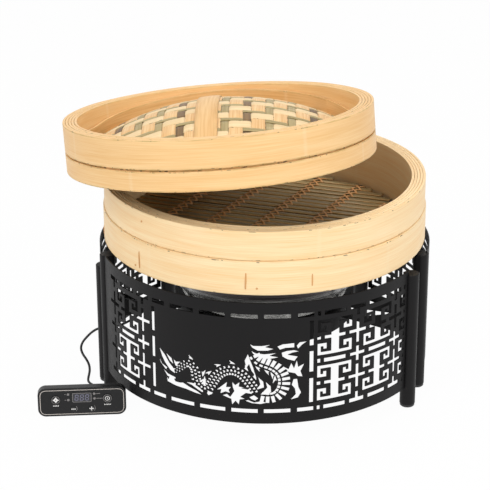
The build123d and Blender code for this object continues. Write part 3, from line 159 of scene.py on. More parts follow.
class FloorSettings(bpy.types.PropertyGroup):
    """Sizes of the basket's floor."""
    pitch: length("Slat pitch", "From one slat to the next", 12.6 * MM)
    width: length("Slat width", "Width of one slat", 10.6 * MM)
    row_pitch: length("Lacing pitch", "From one row of lacing to the next", 57.0 * MM)
    cane: length("Cane width", "Width of the lacing cane", 3.2 * MM)
    seed: IntProperty(name="Seed", description="Seed of the slats' small differences", default=4)


class WeaveSettings(bpy.types.PropertyGroup):
    """Sizes of the lid's woven panel."""
    wide_along: length("Wide, lengthwise", "Wide strips that run front to back", 16.4 * MM)
    narrow_along: length("Narrow, lengthwise", "Narrow strips that run front to back", 8.6 * MM)
    wide_across: length("Wide, crosswise", "Wide strips that run side to side", 16.6 * MM)
    narrow_across: length("Narrow, crosswise", "Narrow strips that run side to side", 7.0 * MM)
    strip: length("Thickness", "Thickness of a woven strip", 0.8 * MM)
    lift: length("Lift", "How far a strip rises over and sinks under the others", 0.85 * MM)


class StandSettings(bpy.types.PropertyGroup):
    """Finish of the stand."""
    coat: colour("Coat", "Powder coat on the steel", "#0C0B0C")
    roughness: FloatProperty(name="Roughness", description="Roughness of the powder coat", default=0.46,
                             min=0, max=1)


class ControlSettings(bpy.types.PropertyGroup):
    """Sizes of the control's print."""
    print_height: length("Print height", "How far the print stands proud", 0.08 * MM)
    line: length("Line", "Width of the print's lines", 0.55 * MM)


class LeadSettings(bpy.types.PropertyGroup):
    """Sizes of the control lead."""
    diameter: length("Diameter", "Outer diameter of the control lead", 3.0 * MM)


SETTINGS = {
    "steamer_bamboo": BambooSettings,
    "steamer_basket": BasketSettings,
    "steamer_floor": FloorSettings,
    "steamer_weave": WeaveSettings,
    "steamer_stand": StandSettings,
    "steamer_control": ControlSettings,
    "steamer_lead": LeadSettings,
}


def add_node(tree, kind, values=None, links=None, **settings):
    """Adds a node with its settings, its inputs' values and the sockets linked to its inputs."""
    made = tree.nodes.new(kind)
    for name, value in settings.items():
        setattr(made, name, value)
    for key, value in (values or {}).items():
        made.inputs[key].default_value = value
    for key, source in (links or {}).items():
        tree.links.new(source, made.inputs[key])
    return made


def math_node(tree, operation, first, second=None):
    """One sum on a socket and a number or another socket; gives its output."""
    made = tree.nodes.new("ShaderNodeMath")
    made.operation = operation
    for place, value in enumerate((first, second)):
        if value is None:
            continue
        if isinstance(value, (int, float)):
            made.inputs[place].default_value = value
        else:
            tree.links.new(value, made.inputs[place])
    return made.outputs[0]


def empty_tree(holder):
    """The node tree of a material or a world, emptied."""
    holder.use_nodes = True
    holder.node_tree.nodes.clear()
    return holder.node_tree


def blank(name):
    """A new material, its tree and its main shader."""
    made = bpy.data.materials.new(name)
    tree = empty_tree(made)
    shader = add_node(tree, "ShaderNodeBsdfPrincipled")
    add_node(tree, "ShaderNodeOutputMaterial", links={"Surface": shader.outputs[0]})
    return made, tree, shader


def mix(tree, factor, first, second):
    """Mixes two colours, each a socket or a colour; gives the output."""
    made = tree.nodes.new("ShaderNodeMix")
    made.data_type = "RGBA"
    for key, value in (("Factor", factor), ("A", first), ("B", second)):
        places = [s for s in made.inputs if s.name == key and s.enabled]
        if isinstance(value, (tuple, list, float, int)):
            places[0].default_value = value
        else:
            tree.links.new(value, places[0])
    return next(s for s in made.outputs if s.enabled)


def times(tree, first, second):
    """Product of a socket and a number or another socket."""
    return math_node(tree, "MULTIPLY", first, second)


def spread(tree, value, low, high, first=0.0, last=1.0):
    """Maps a value between low and high to one between first and last."""
    return add_node(tree, "ShaderNodeMapRange", {1: low, 2: high, 3: first, 4: last}, {0: value}).outputs[0]


def noise_on(tree, vector, detail, scale=1.0, **values):
    """Noise on a vector's socket."""
    values = {"Scale": scale, "Detail": detail, **values}
    return add_node(tree, "ShaderNodeTexNoise", values, {"Vector": vector}).outputs[0]


def strip_place(tree):
    """The strip's own UV, and its two runs in metres: along and across the strip."""
    strip = add_node(tree, "ShaderNodeUVMap", uv_map=UV_NAME).outputs[0]
    apart = add_node(tree, "ShaderNodeSeparateXYZ", links={0: strip})
    return strip, apart.outputs[0], apart.outputs[1]


def drawn_out(tree, along, across, run, width, detail, **values):
    """Noise drawn out along the strip: run and width are its grain in metres."""
    place = add_node(tree, "ShaderNodeCombineXYZ", links={
        0: times(tree, along, 1 / run), 1: times(tree, across, 1 / width)})
    return noise_on(tree, place.outputs[0], detail, **values)


# From one node of the cane to the next, along a strip
NODE_PITCH = 310 * MM


def wood_fibres(name, light, deep, skin, roughness=0.46, fibre=0.8 * MM, skin_share=0.55, tone=0.45):
    """Planed split bamboo: fine straight fibres along the strip, olive skin on its edges, pale nodes.

    The eye sees close parallel fibres, a satin sheen, and every third of a metre a faint knobbly band.
    """
    made, tree, shader = blank(name)
    shader.inputs["Roughness"].default_value = roughness
    shader.inputs["IOR"].default_value = 1.5
    shader.inputs["Specular IOR Level"].default_value = 0.35
    strip, along, across = strip_place(tree)

    def fibres_at(run, width, detail):
        return drawn_out(tree, along, across, run, width, detail, Roughness=0.6)

    fine = fibres_at(70 * MM, fibre, 3.0)
    broad = fibres_at(130 * MM, 9 * MM, 2.0)
    sharp_part = times(tree, spread(tree, fine, 0.36, 0.64), 1 - tone)
    broad_part = times(tree, spread(tree, broad, 0.34, 0.66), tone)
    colour_now = mix(tree, math_node(tree, "ADD", sharp_part, broad_part), deep, light)
    # Nodes of the cane: a pale band with a knobbly edge
    beat = math_node(tree, "SUBTRACT", math_node(tree, "MODULO", along, NODE_PITCH), NODE_PITCH / 2)
    knobs = noise_on(tree, strip, 2.0, 520.0)
    ragged = math_node(tree, "ADD", math_node(tree, "ABSOLUTE", beat), times(tree, knobs, 3.2 * MM))
    band = spread(tree, ragged, 2.6 * MM, 5.0 * MM, 1.0, 0.0)
    colour_now = mix(tree, times(tree, band, 0.14), colour_now, srgb("#FCE8C4"))
    # Olive skin along the edges, worn off in places
    edge = add_node(tree, "ShaderNodeAttribute", attribute_name=EDGE_NAME).outputs["Fac"]
    worn = spread(tree, fibres_at(22 * MM, 5 * MM, 3.0), 0.40, 0.60, 0.15, 1.0)
    skinned = times(tree, times(tree, edge, worn), skin_share)
    colour_now = mix(tree, skinned, colour_now, skin)
    # Dark marks on the edges beside the nodes, and small dark flecks on any edge
    marks = times(tree, spread(tree, ragged, 5.0 * MM, 9.5 * MM, 1.0, 0.0),
                  math_node(tree, "GREATER_THAN", knobs, 0.60))
    dark = times(tree, marks, math_node(tree, "GREATER_THAN", edge, 0.55))
    flecks = times(tree, math_node(tree, "GREATER_THAN", fibres_at(7 * MM, 4 * MM, 1.0), 0.63),
                   math_node(tree, "GREATER_THAN", edge, 0.75))
    dark = math_node(tree, "MAXIMUM", dark, flecks)
    colour_now = mix(tree, times(tree, dark, 0.80), colour_now, srgb("#33281A"))
    tree.links.new(colour_now, shader.inputs["Base Color"])
    height = math_node(tree, "ADD", times(tree, fine, 0.6), times(tree, band, 0.5))
    bump = add_node(tree, "ShaderNodeBump", {"Strength": 0.22, "Distance": 0.25 * MM}, {"Height": height})
    tree.links.new(bump.outputs[0], shader.inputs["Normal"])
    return made


def object_noise(tree, grain, detail=2.0, stretch=(1.0, 1.0, 1.0)):
    """Noise on Object coordinates, grain metres across."""
    place = add_node(tree, "ShaderNodeTexCoord").outputs["Object"]
    mapped = add_node(tree, "ShaderNodeMapping", {"Scale": stretch}, {"Vector": place}).outputs[0]
    return noise_on(tree, mapped, detail, 1 / grain)


def fine_skin(name, base, roughness, metallic=0.0, grain=0.8 * MM, depth=0.03 * MM, tint=None,
              tint_share=0.25, specular=0.5, coat=0.0, stretch=(1.0, 1.0, 1.0)):
    """A plain finish with its fine grain in bump and roughness, and a slow change of tint."""
    made, tree, shader = blank(name)
    grains = object_noise(tree, grain, 3.0, stretch)
    wash = times(tree, object_noise(tree, 45 * MM), tint_share)
    tree.links.new(mix(tree, wash, base, tint or base), shader.inputs["Base Color"])
    rough = spread(tree, grains, 0.3, 0.7, max(0.02, roughness * 0.85), min(1.0, roughness * 1.15))
    tree.links.new(rough, shader.inputs["Roughness"])
    shader.inputs["Metallic"].default_value = metallic
    if not metallic:
        shader.inputs["Specular IOR Level"].default_value = specular
    shader.inputs["Coat Weight"].default_value = coat
    shader.inputs["Coat Roughness"].default_value = 0.1
    bump = add_node(tree, "ShaderNodeBump", {"Strength": 0.5, "Distance": depth}, {"Height": grains})
    tree.links.new(bump.outputs[0], shader.inputs["Normal"])
    return made


def powder_coat():
    """Satin black powder coat on rolled steel: even, with a faint orange peel that breaks up reflections.

    The peel is drawn 1.6 mm across, coarser than the real 0.5 mm, so that it shows.
    """
    settings = bpy.context.scene.steamer_stand
    return fine_skin("Powder coated steel", tuple(settings.coat), settings.roughness, grain=1.6 * MM,
                     depth=0.02 * MM, tint=srgb("#181516"), specular=0.22)


# Heights between which the pan's bright steel turns into painted shade, dark red-brown, under the basket
SHADE_FROM, SHADE_TO = 150 * MM, 156 * MM


def spun_steel():
    """Polished stainless steel, spun and pressed: bright, with fine rings round the axis.

    The flange and the upper wall under the basket are darkened with painted shade, where the basket shades
    them.
    """
    made, tree, shader = blank("Polished stainless steel")
    place = add_node(tree, "ShaderNodeTexCoord").outputs["Object"]
    apart = add_node(tree, "ShaderNodeSeparateXYZ", links={0: place})
    turn = math_node(tree, "ARCTAN2", apart.outputs[1], apart.outputs[0])
    rings = add_node(tree, "ShaderNodeCombineXYZ", links={
        0: times(tree, apart.outputs[2], 900.0), 1: times(tree, turn, 3.0)})
    fine = noise_on(tree, rings.outputs[0], 2.0)
    steel = mix(tree, fine, srgb("#A9A8A5"), srgb("#C2C1BE"))
    # Painted shade: the steel turns dark red-brown above this height, where the basket shades it
    painted_shade = spread(tree, apart.outputs[2], SHADE_FROM, SHADE_TO)
    tree.links.new(mix(tree, painted_shade, steel, srgb("#2E1D1A")), shader.inputs["Base Color"])
    tree.links.new(spread(tree, fine, 0.3, 0.7, 0.16, 0.30), shader.inputs["Roughness"])
    shader.inputs["Metallic"].default_value = 1.0
    return made


def smoked_slats():
    """Smoked split bamboo of the floor: olive brown skin on top, tan where the saw cut its edges."""
    made, tree, shader = blank("Smoked split bamboo")
    pitch = bpy.context.scene.steamer_floor.pitch
    _, along, across = strip_place(tree)
    fine = drawn_out(tree, along, across, 38 * MM, 1.1 * MM, 3.0)
    # Each slat has its own tone: its number is its place across the floor
    number = math_node(tree, "FLOOR", math_node(tree, "ADD", math_node(tree, "DIVIDE", across, pitch), 0.5))
    patch = add_node(tree, "ShaderNodeCombineXYZ", links={
        0: times(tree, along, 7.0), 1: times(tree, number, 3.7)})
    tones = spread(tree, noise_on(tree, patch.outputs[0], 1.0), 0.36, 0.64)
    body = mix(tree, spread(tree, fine, 0.36, 0.64), srgb("#75664A"), srgb("#A8966F"))
    body = mix(tree, times(tree, tones, 0.7), body, srgb("#B59F6C"))
    edge = add_node(tree, "ShaderNodeAttribute", attribute_name=EDGE_NAME).outputs["Fac"]
    body = mix(tree, times(tree, edge, 0.75), body, srgb("#DDB072"))
    tree.links.new(body, shader.inputs["Base Color"])
    shader.inputs["Roughness"].default_value = 0.42
    bump = add_node(tree, "ShaderNodeBump", {"Strength": 0.4, "Distance": 0.3 * MM}, {"Height": fine})
    tree.links.new(bump.outputs[0], shader.inputs["Normal"])
    return made


# Bamboo: light and deep fibres, the skin on the edges, and what differs from the basket's strips
WOODS = {
    "centre_slat": ("Planed bamboo, centre slat", "#EFC68C", "#D9A563", "#A98A50",
                    {"fibre": 1.0 * MM, "skin_share": 0.7}),
    "weave_wide_along": ("Woven bamboo, warm", "#F3D09A", "#D9A567", "#C89A5C",
                         {"fibre": 1.3 * MM, "skin_share": 0.3, "tone": 0.3}),
    "weave_narrow_along": ("Woven bamboo, olive", "#BBA878", "#94804F", "#7E7048",
                           {"fibre": 1.1 * MM, "skin_share": 0.4, "tone": 0.5}),
    "weave_wide_across": ("Woven bamboo, pale", "#F6DDB0", "#E3C28C", "#D2B27C",
                          {"fibre": 1.3 * MM, "skin_share": 0.3, "tone": 0.4}),
    "weave_narrow_across": ("Woven bamboo, grey", "#B8A676", "#93804E", "#847750",
                            {"fibre": 1.1 * MM, "skin_share": 0.4, "tone": 0.5}),
    "weave_brown": ("Woven bamboo, smoked", "#8A6A40", "#4E3A1E", "#4A3722",
                    {"fibre": 1.1 * MM, "skin_share": 0.3, "tone": 0.5}),
    # Cane is split finer than the strips, and is glossier
    "cane": ("Split cane", "#EDB87E", "#C48C50", "#9E6D3A",
             {"roughness": 0.38, "fibre": 0.6 * MM, "skin_share": 0.5}),
}

# Plain finishes: colour, roughness, metallic, grain and depth in mm, tint and its share, and the rest
PLAIN_FINISHES = {
    # Dried sheath leaf under the weave: dark brown, with long veins
    "leaf": ("Dried bamboo leaf", "#3A2B1C", 0.7, 0.0, 2.0, 0.1, "#5A452C", 0.6,
             {"specular": 0.2, "stretch": (1.0, 0.1, 1.0)}),
    # Sawn bamboo inside the lid: pale and rough, with its grain up the hoop
    "pale_core": ("Sawn bamboo", "#E5C48E", 0.6, 0.0, 1.2, 0.08, "#C79A5E", 0.6,
                  {"stretch": (1.0, 1.0, 0.2)}),
    # Battens and ledge under the slats: dark brown for the painted shade of the slats above them
    "slat_shade_core": ("Bamboo in painted shade", "#4A3622", 0.6, 0.0, 1.2, 0.08, "#2E2116", 0.6, {}),
    # Turned aluminium: an even fine grain and a soft grey shine
    "aluminium": ("Turned aluminium", "#B8BABC", 0.34, 1.0, 1.2, 0.02, None, 0.25, {}),
    # Zinc plated steel: bright, slightly blue, even
    "zinc": ("Zinc plated steel", "#A9ADB3", 0.3, 1.0, 0.9, 0.01, None, 0.25, {}),
    # Drawn steel tube, browned by its own heat
    "element": ("Heat browned steel tube", "#6E6660", 0.45, 1.0, 1.0, 0.02, "#8A6A4A", 0.6, {}),
    # Pressed mineral fibre: dull, off-white, coarse
    "mineral": ("Pressed mineral fibre", "#C9C2AC", 0.9, 0.0, 2.2, 0.3, "#A79E84", 0.7, {"specular": 0.2}),
    # Glazed ceramic: white and glossy
    "ceramic": ("Glazed ceramic", "#E9E6DC", 0.16, 0.0, 3.0, 0.01, None, 0.25, {"coat": 0.4}),
    # Circuit board under its green solder lacquer
    "board": ("Lacquered circuit board", "#15603A", 0.3, 0.0, 1.4, 0.02, "#0E3F27", 0.8, {}),
    # Contact pins: warm yellow metal with a clean shine
    "brass": ("Plated brass", "#C9AE6B", 0.24, 1.0, 0.8, 0.01, None, 0.25, {}),
    # Moulded ABS with a fine spark-eroded texture
    "plastic": ("Moulded ABS", "#19191A", 0.42, 0.0, 0.9, 0.03, "#222224", 0.25, {}),
    # The control's face is smoother than its back and reflects softly
    "face": ("Satin ABS face", "#121213", 0.32, 0.0, 1.1, 0.01, "#0D0D0E", 0.25,
             {"coat": 0.1, "specular": 0.3}),
    # Keys of the same plastic as the face, a little glossier than the back
    "key": ("Moulded key", "#141415", 0.34, 0.0, 0.8, 0.02, "#1D1D1F", 0.25, {}),
    # Flexible PVC and rubber: dull with a soft highlight
    "rubber": ("Flexible PVC", "#151515", 0.5, 0.0, 0.7, 0.03, "#202020", 0.25, {}),
    # Silver hot foil in a groove
    "foil": ("Silver hot foil", "#DAD2CB", 0.36, 0.0, 1.0, 0.01, "#C4BBB4", 0.6, {}),
    # Pad-printed ink: pale, flat, slightly uneven
    "print": ("Pad printed ink", "#FBFAF8", 0.5, 0.0, 0.9, 0.01, "#CFCBC6", 0.4, {}),
    "print_grey": ("Pad printed ink, grey", "#8F8B8A", 0.5, 0.0, 0.9, 0.01, "#6F6B6B", 0.4, {}),
    # Segments of the display, unlit: blue grey
    "digits": ("Unlit display segments", "#77768A", 0.4, 0.0, 0.9, 0.01, "#5E5D70", 0.5, {}),
    # Smoked acrylic window: almost black, very smooth
    "window": ("Smoked acrylic", "#1A1A20", 0.08, 0.0, 2.0, 0.002, "#202028", 0.25, {"coat": 0.5}),
}


def planed(title, light, deep, skin_share):
    """The finish of the basket's or the lid's strips, in the settings' colours."""
    skin_colour = bpy.context.scene.steamer_bamboo.skin
    return wood_fibres(title, tuple(light), tuple(deep), tuple(skin_colour), skin_share=skin_share)


_made = {}


def finish_of(name):
    """The finish with that name, made once."""
    bamboo = bpy.context.scene.steamer_bamboo
    if name in _made:
        return _made[name]
    if name in WOODS:
        title, light, deep, edges, rest = WOODS[name]
        made = wood_fibres(title, srgb(light), srgb(deep), srgb(edges), **rest)
    elif name in PLAIN_FINISHES:
        title, base, roughness, metallic, grain, depth, tint, tint_share, rest = PLAIN_FINISHES[name]
        made = fine_skin(title, srgb(base), roughness, metallic, grain * MM, depth * MM,
                         tint and srgb(tint), tint_share, **rest)
    elif name == "basket":
        made = planed("Planed bamboo, basket", bamboo.basket_light, bamboo.basket_deep, 0.22)
    elif name == "lid":
        made = planed("Planed bamboo, lid", bamboo.lid_light, bamboo.lid_deep, 0.80)
    else:
        made = {"slats": smoked_slats, "powder": powder_coat, "steel": spun_steel}[name]()
    _made[name] = made
    return made


def smooth_wave(angle, seed, terms=((2, 0.5), (3, 0.3), (5, 0.2))):
    """A closed wave round a hoop, between -1 and 1."""
    return sum(share * math.sin(count * angle + seed * (1.7 + count)) for count, share in terms)


def new_shell():
    """An empty mesh with the strip's UV and edge layers."""
    shell = bmesh.new()
    shell.loops.layers.uv.new(UV_NAME)
    shell.verts.layers.float.new(EDGE_NAME)
    return shell


def skin(shell, sections, along, across, edges, closed=False, material=0):
    """Adds quads through sections of points; along and across are their UVs in metres."""
    uv = shell.loops.layers.uv[UV_NAME]
    edge = shell.verts.layers.float[EDGE_NAME]
    rows = []
    for section in sections:
        row = [shell.verts.new(point) for point in section]
        for vert, share in zip(row, edges):
            vert[edge] = share
        rows.append(row)
    count = len(rows[0])
    pairs = list(zip(rows, rows[1:] + rows[:1] if closed else rows[1:]))
    for number, (first, second) in enumerate(pairs):
        for k in range(count):
            after = (k + 1) % count
            face = shell.faces.new((first[k], first[after], second[after], second[k]))
            face.smooth = True
            face.material_index = material
            places = ((along[number], across[k]), (along[number], across[k + 1]),
                      (along[number + 1], across[k + 1]), (along[number + 1], across[k]))
            for loop, place in zip(face.loops, places):
                loop[uv].uv = place
    if not closed:
        for row, number in ((rows[0][::-1], 0), (rows[-1], -1)):
            face = shell.faces.new(row)
            face.material_index = material
            for loop in face.loops:
                loop[uv].uv = (along[number], 0.0)


def mesh_of(shell, name):
    """Turns a shell into a mesh."""
    mesh = bpy.data.meshes.new(name)
    shell.to_mesh(mesh)
    shell.free()
    return mesh


def shell_mesh(shell, name):
    """Turns a shell into a mesh with its faces outwards."""
    bmesh.ops.recalc_face_normals(shell, faces=shell.faces)
    return mesh_of(shell, name)


# Points nearer than this are one
WELD = 1e-7


def add_piece(name, shell, finishes, body, stands_for=()):
    """Makes a finished object of a shell, riding on a body."""
    bmesh.ops.remove_doubles(shell, verts=shell.verts, dist=WELD)
    bmesh.ops.dissolve_degenerate(shell, edges=shell.edges, dist=WELD)
    return add_mesh(name, shell_mesh(shell, name), finishes, body, stands_for)


def add_mesh(name, mesh, finishes, body, stands_for=()):
    """Links a mesh as a piece with its finishes, riding on a body."""
    made = bpy.data.objects.new(name, mesh)
    bpy.context.scene.collection.objects.link(made)
    for finish in finishes or ():
        mesh.materials.append(finish_of(finish))
    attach(made, body)
    if stands_for:
        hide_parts(*stands_for)
    return made


def dress(finish, *nodes):
    """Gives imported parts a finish."""
    for name in nodes:
        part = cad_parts[name]
        part.data.materials.clear()
        part.data.materials.append(finish_of(finish))


# From a strip's corner to where its olive skin ends
SKIN_REACH = 1.4 * MM
# Points this near a hoop's outer face thin out at its lap, which is this long
LAP_FACE = 1.6 * MM
LAP_LENGTH = 32.0 * MM
# A hoop's last section stops this short of its first, in radians
LAP_SLIT = 1e-4
# How far each hoop's grain is shifted from the one before, along and across
GRAIN_SHIFT = (0.137, 0.05)


def strip_profile(inner, outer, low, high, rounding, top_rounding=None):
    """Section of a strip: (radius, height, edge) round it from below; edge is 1 where skin is left."""
    top = top_rounding or rounding
    corners = (
        (outer, low, -90, rounding, (0.0, 0.5, 1.0)), (outer, high, 0, top, (1.0, 0.7, 0.1)),
        (inner, high, 90, rounding, (0.1, 0.5, 0.6)), (inner, low, 180, rounding, (0.2, 0.1, 0.0)))
    points = []
    for radius, height, start, bend, shares in corners:
        centre_r = radius - bend if radius == outer else radius + bend
        centre_z = height + bend if height == low else height - bend
        for step, share in zip((0, 45, 90), shares):
            turn = math.radians(start + step)
            points.append((centre_r + bend * math.cos(turn), centre_z + bend * math.sin(turn), share))
    outer_ends = [(outer, low + SKIN_REACH + rounding, 0.0), (outer, high - SKIN_REACH - top, 0.0)]
    inner_ends = [(inner, high - SKIN_REACH - rounding, 0.0), (inner, low + SKIN_REACH + rounding, 0.0)]
    return points[:3] + outer_ends + points[3:9] + inner_ends + points[9:]


def crowned(side, low=0.0, top=1.0):
    """Section of a strip with a crowned top: (place, height, edge), mirrored from one side's corners."""
    mirrored = [(-place, height, edge) for place, height, edge in reversed(side)]
    return [(-0.5, low, 1.0), (0.5, low, 1.0)] + side + [(0.0, top, 0.0)] + mirrored


def hoop_strip(shell, profile, place, seed, wave, rim_drop, lap_angle, columns, lap_depth=0.9 * MM,
               back_rise=0.0):
    """One strip rolled into a hoop, slightly out of round, with its tapered lap at one angle."""
    outer = max(p[0] for p in profile)
    low = min(p[1] for p in profile)
    high = max(p[1] for p in profile)
    angles = [lap_angle + 2 * math.pi * i / columns for i in range(columns)]
    angles.append(lap_angle + 2 * math.pi - LAP_SLIT)
    sections = []
    for angle in angles:
        out_of_round = wave * smooth_wave(angle, 1.0)
        since_lap = (angle - lap_angle) * outer
        thinner = lap_depth * max(0.0, 1 - since_lap / LAP_LENGTH)
        drop = rim_drop * (0.5 + 0.5 * smooth_wave(angle, seed + 2, ((3, 0.5), (7, 0.3), (11, 0.2))))
        lift = back_rise * max(0.0, (outer * math.sin(angle) - RETAINING_BEND) / (outer - RETAINING_BEND))
        section = []
        for radius, height, edge in profile:
            share = (height - low) / (high - low)
            reach = radius + out_of_round - (thinner if radius > outer - LAP_FACE else 0.0)
            rise = height + (lift - drop) * share
            section.append(place @ Vector((reach * math.cos(angle), reach * math.sin(angle), rise)))
        sections.append(section)
    start = seed * GRAIN_SHIFT[0]
    along = [start + (angle - lap_angle) * outer for angle in angles] + [start + 2 * math.pi * outer]
    across = [0.0]
    for first, second in zip(profile, profile[1:] + profile[:1]):
        across.append(across[-1] + math.hypot(second[0] - first[0], second[1] - first[1]))
    across = [value + seed * GRAIN_SHIFT[1] for value in across]
    skin(shell, sections, along, across, [p[2] for p in profile], closed=True)


def basket_layer(number):
    """Inner and outer radius of one of the basket's strips."""
    inner = BASKET_INNER + number * LAYER_PITCH
    return inner, inner + STRIP


def lid_layer(number):
    """Inner and outer radius of one of the lid's strips."""
    inner = LID_INNER + number * LAYER_PITCH
    return inner, inner + STRIP


def at(angle, reach, height):
    """Point at an angle from the front and a distance from the axis, in degrees and metres."""
    turn = math.radians(angle)
    return Vector((reach * math.sin(turn), -reach * math.cos(turn), height))


def repeat_tree():
    """Puts a template on every point of a mesh, turned and sized by the points' attributes."""
    tree = bpy.data.node_groups.new("Repeat on points", "GeometryNodeTree")
    face = tree.interface
    face.new_socket("Geometry", in_out="INPUT", socket_type="NodeSocketGeometry")
    names = {}
    kinds = {"Template": "Object", "Loose turn": "Float", "Seed": "Int", "Finish": "Material"}
    for name, kind in kinds.items():
        names[name] = face.new_socket(name, in_out="INPUT", socket_type="NodeSocket" + kind).identifier
    face.new_socket("Geometry", in_out="OUTPUT", socket_type="NodeSocketGeometry")
    given = add_node(tree, "NodeGroupInput")
    shape = add_node(tree, "GeometryNodeObjectInfo", links={"Object": given.outputs["Template"]})
    turn = add_node(tree, "GeometryNodeInputNamedAttribute", {"Name": "turn"}, data_type="FLOAT_VECTOR")
    size = add_node(tree, "GeometryNodeInputNamedAttribute", {"Name": "size"}, data_type="FLOAT_VECTOR")
    least = times(tree, given.outputs["Loose turn"], -1.0)
    chance = add_node(tree, "FunctionNodeRandomValue", links={
        "Min": least, "Max": given.outputs["Loose turn"], "Seed": given.outputs["Seed"]},
        data_type="FLOAT_VECTOR")
    turned = add_node(tree, "ShaderNodeVectorMath", links={0: turn.outputs[0], 1: chance.outputs[0]},
                      operation="ADD")
    put = add_node(tree, "GeometryNodeInstanceOnPoints", links={
        "Points": given.outputs["Geometry"], "Instance": shape.outputs["Geometry"],
        "Rotation": turned.outputs[0], "Scale": size.outputs[0]})
    real = add_node(tree, "GeometryNodeRealizeInstances", links={"Geometry": put.outputs[0]})
    coat = add_node(tree, "GeometryNodeSetMaterial", links={
        "Geometry": real.outputs[0], "Material": given.outputs["Finish"]})
    add_node(tree, "NodeGroupOutput", links={"Geometry": coat.outputs[0]})
    return tree, names


def repeated(name, template, places, finish, loose=0.0, seed=1):
    """A plain mesh of a template put at places, each a point, a turn in radians and a size."""
    if "tree" not in _made:
        _made["tree"] = repeat_tree()
    tree, names = _made["tree"]
    points = bpy.data.meshes.new(name + "_points")
    points.from_pydata([place[0] for place in places], [], [])
    for number, attribute in ((1, "turn"), (2, "size")):
        layer = points.attributes.new(attribute, "FLOAT_VECTOR", "POINT")
        for value, place in zip(layer.data, places):
            value.vector = place[number]
    carrier = bpy.data.objects.new(name + "_carrier", points)
    source = bpy.data.objects.new(name + "_template", template)
    for extra in (carrier, source):
        bpy.context.scene.collection.objects.link(extra)
    modifier = carrier.modifiers.new("Repeat", "NODES")
    modifier.node_group = tree
    modifier[names["Template"]] = source
    modifier[names["Loose turn"]] = loose
    modifier[names["Seed"]] = seed
    modifier[names["Finish"]] = finish_of(finish)
    graph = bpy.context.evaluated_depsgraph_get()
    mesh = bpy.data.meshes.new_from_object(carrier.evaluated_get(graph), depsgraph=graph)
    mesh.name = name
    for extra in (carrier, source):
        bpy.data.objects.remove(extra)
    return mesh


# Stitches are drawn this long and then sized
STITCH = 20.0 * MM


def staple_template(width, rise):
    """A cane stitch that lies on a wall: X out of it, Z along it, its ends going in."""
    shell = new_shell()
    steps = 10
    outline = ((-rise, 1.0), (-rise, -1.0), (0.0, -1.0), (0.35 * rise, -0.5), (0.35 * rise, 0.5), (0.0, 1.0))
    sections = []
    for step in range(steps + 1):
        share = step / steps
        height = -STITCH / 2 + STITCH * share
        out = rise * math.sin(math.pi * share) ** 0.45 - 0.25 * rise
        wide = width * (0.42 + 0.08 * math.sin(math.pi * share))
        sections.append([Vector((out + dx, dy * wide, height)) for dx, dy in outline])
    along = [STITCH * s / steps for s in range(steps + 1)]
    across = [width * share for share in (0.0, 1.0, 1.2, 1.5, 2.0, 2.5, 3.0)]
    skin(shell, sections, along, across, [1.0, 1.0, 0.6, 0.0, 0.0, 0.6])
    return shell_mesh(shell, "stitch_template")


def peg_template(radius, rise):
    """The end of a peg: a slightly domed disc, X out of the wall."""
    shell = new_shell()
    sides = 14
    turns = [2 * math.pi * k / sides for k in range(sides)]
    sections = []
    for reach, out in ((1.0, -2.0), (1.0, 0.0), (0.82, 0.5), (0.35, 0.8)):
        size = radius * reach
        sections.append([Vector((out * rise, size * math.cos(turn), size * math.sin(turn)))
                         for turn in turns])
    across = [radius * k / sides for k in range(sides + 1)]
    skin(shell, sections, [0.0, rise, radius, 2 * radius], across, [0.0] * sides)
    return shell_mesh(shell, "peg_template")


# Places of the pegs and stitches: angle from the front, height and, for a stitch, length in millimetres
BASKET_PEGS = [(-46.5, 255.5), (-50.0, 196.5), (-2.5, 198.0), (43.0, 257.5), (40.5, 198.5), (137.0, 198.5),
               (-137.0, 198.5)]
BASKET_STITCHES = [(-82.0, 200.5, 12.0), (-47.7, 206.0, 21.0), (-6.2, 207.0, 20.0), (16.0, 206.5, 17.0)]
LID_STITCHES = [(-118.0, 14.0, 12.0), (112.0, 13.0, 12.0), (150.0, 13.0, 12.0)]


def wall_turn(angle):
    """Turn that points a template's X outwards at an angle from the front."""
    return (0.0, 0.0, math.radians(angle) - math.pi / 2)


def on_wall(stitches, reach):
    """Points, turns and sizes of stitches on a wall that far from the axis."""
    return [(at(angle, reach, height * MM), wall_turn(angle), (1.0, 1.0, size * MM / STITCH))
            for angle, height, size in stitches]


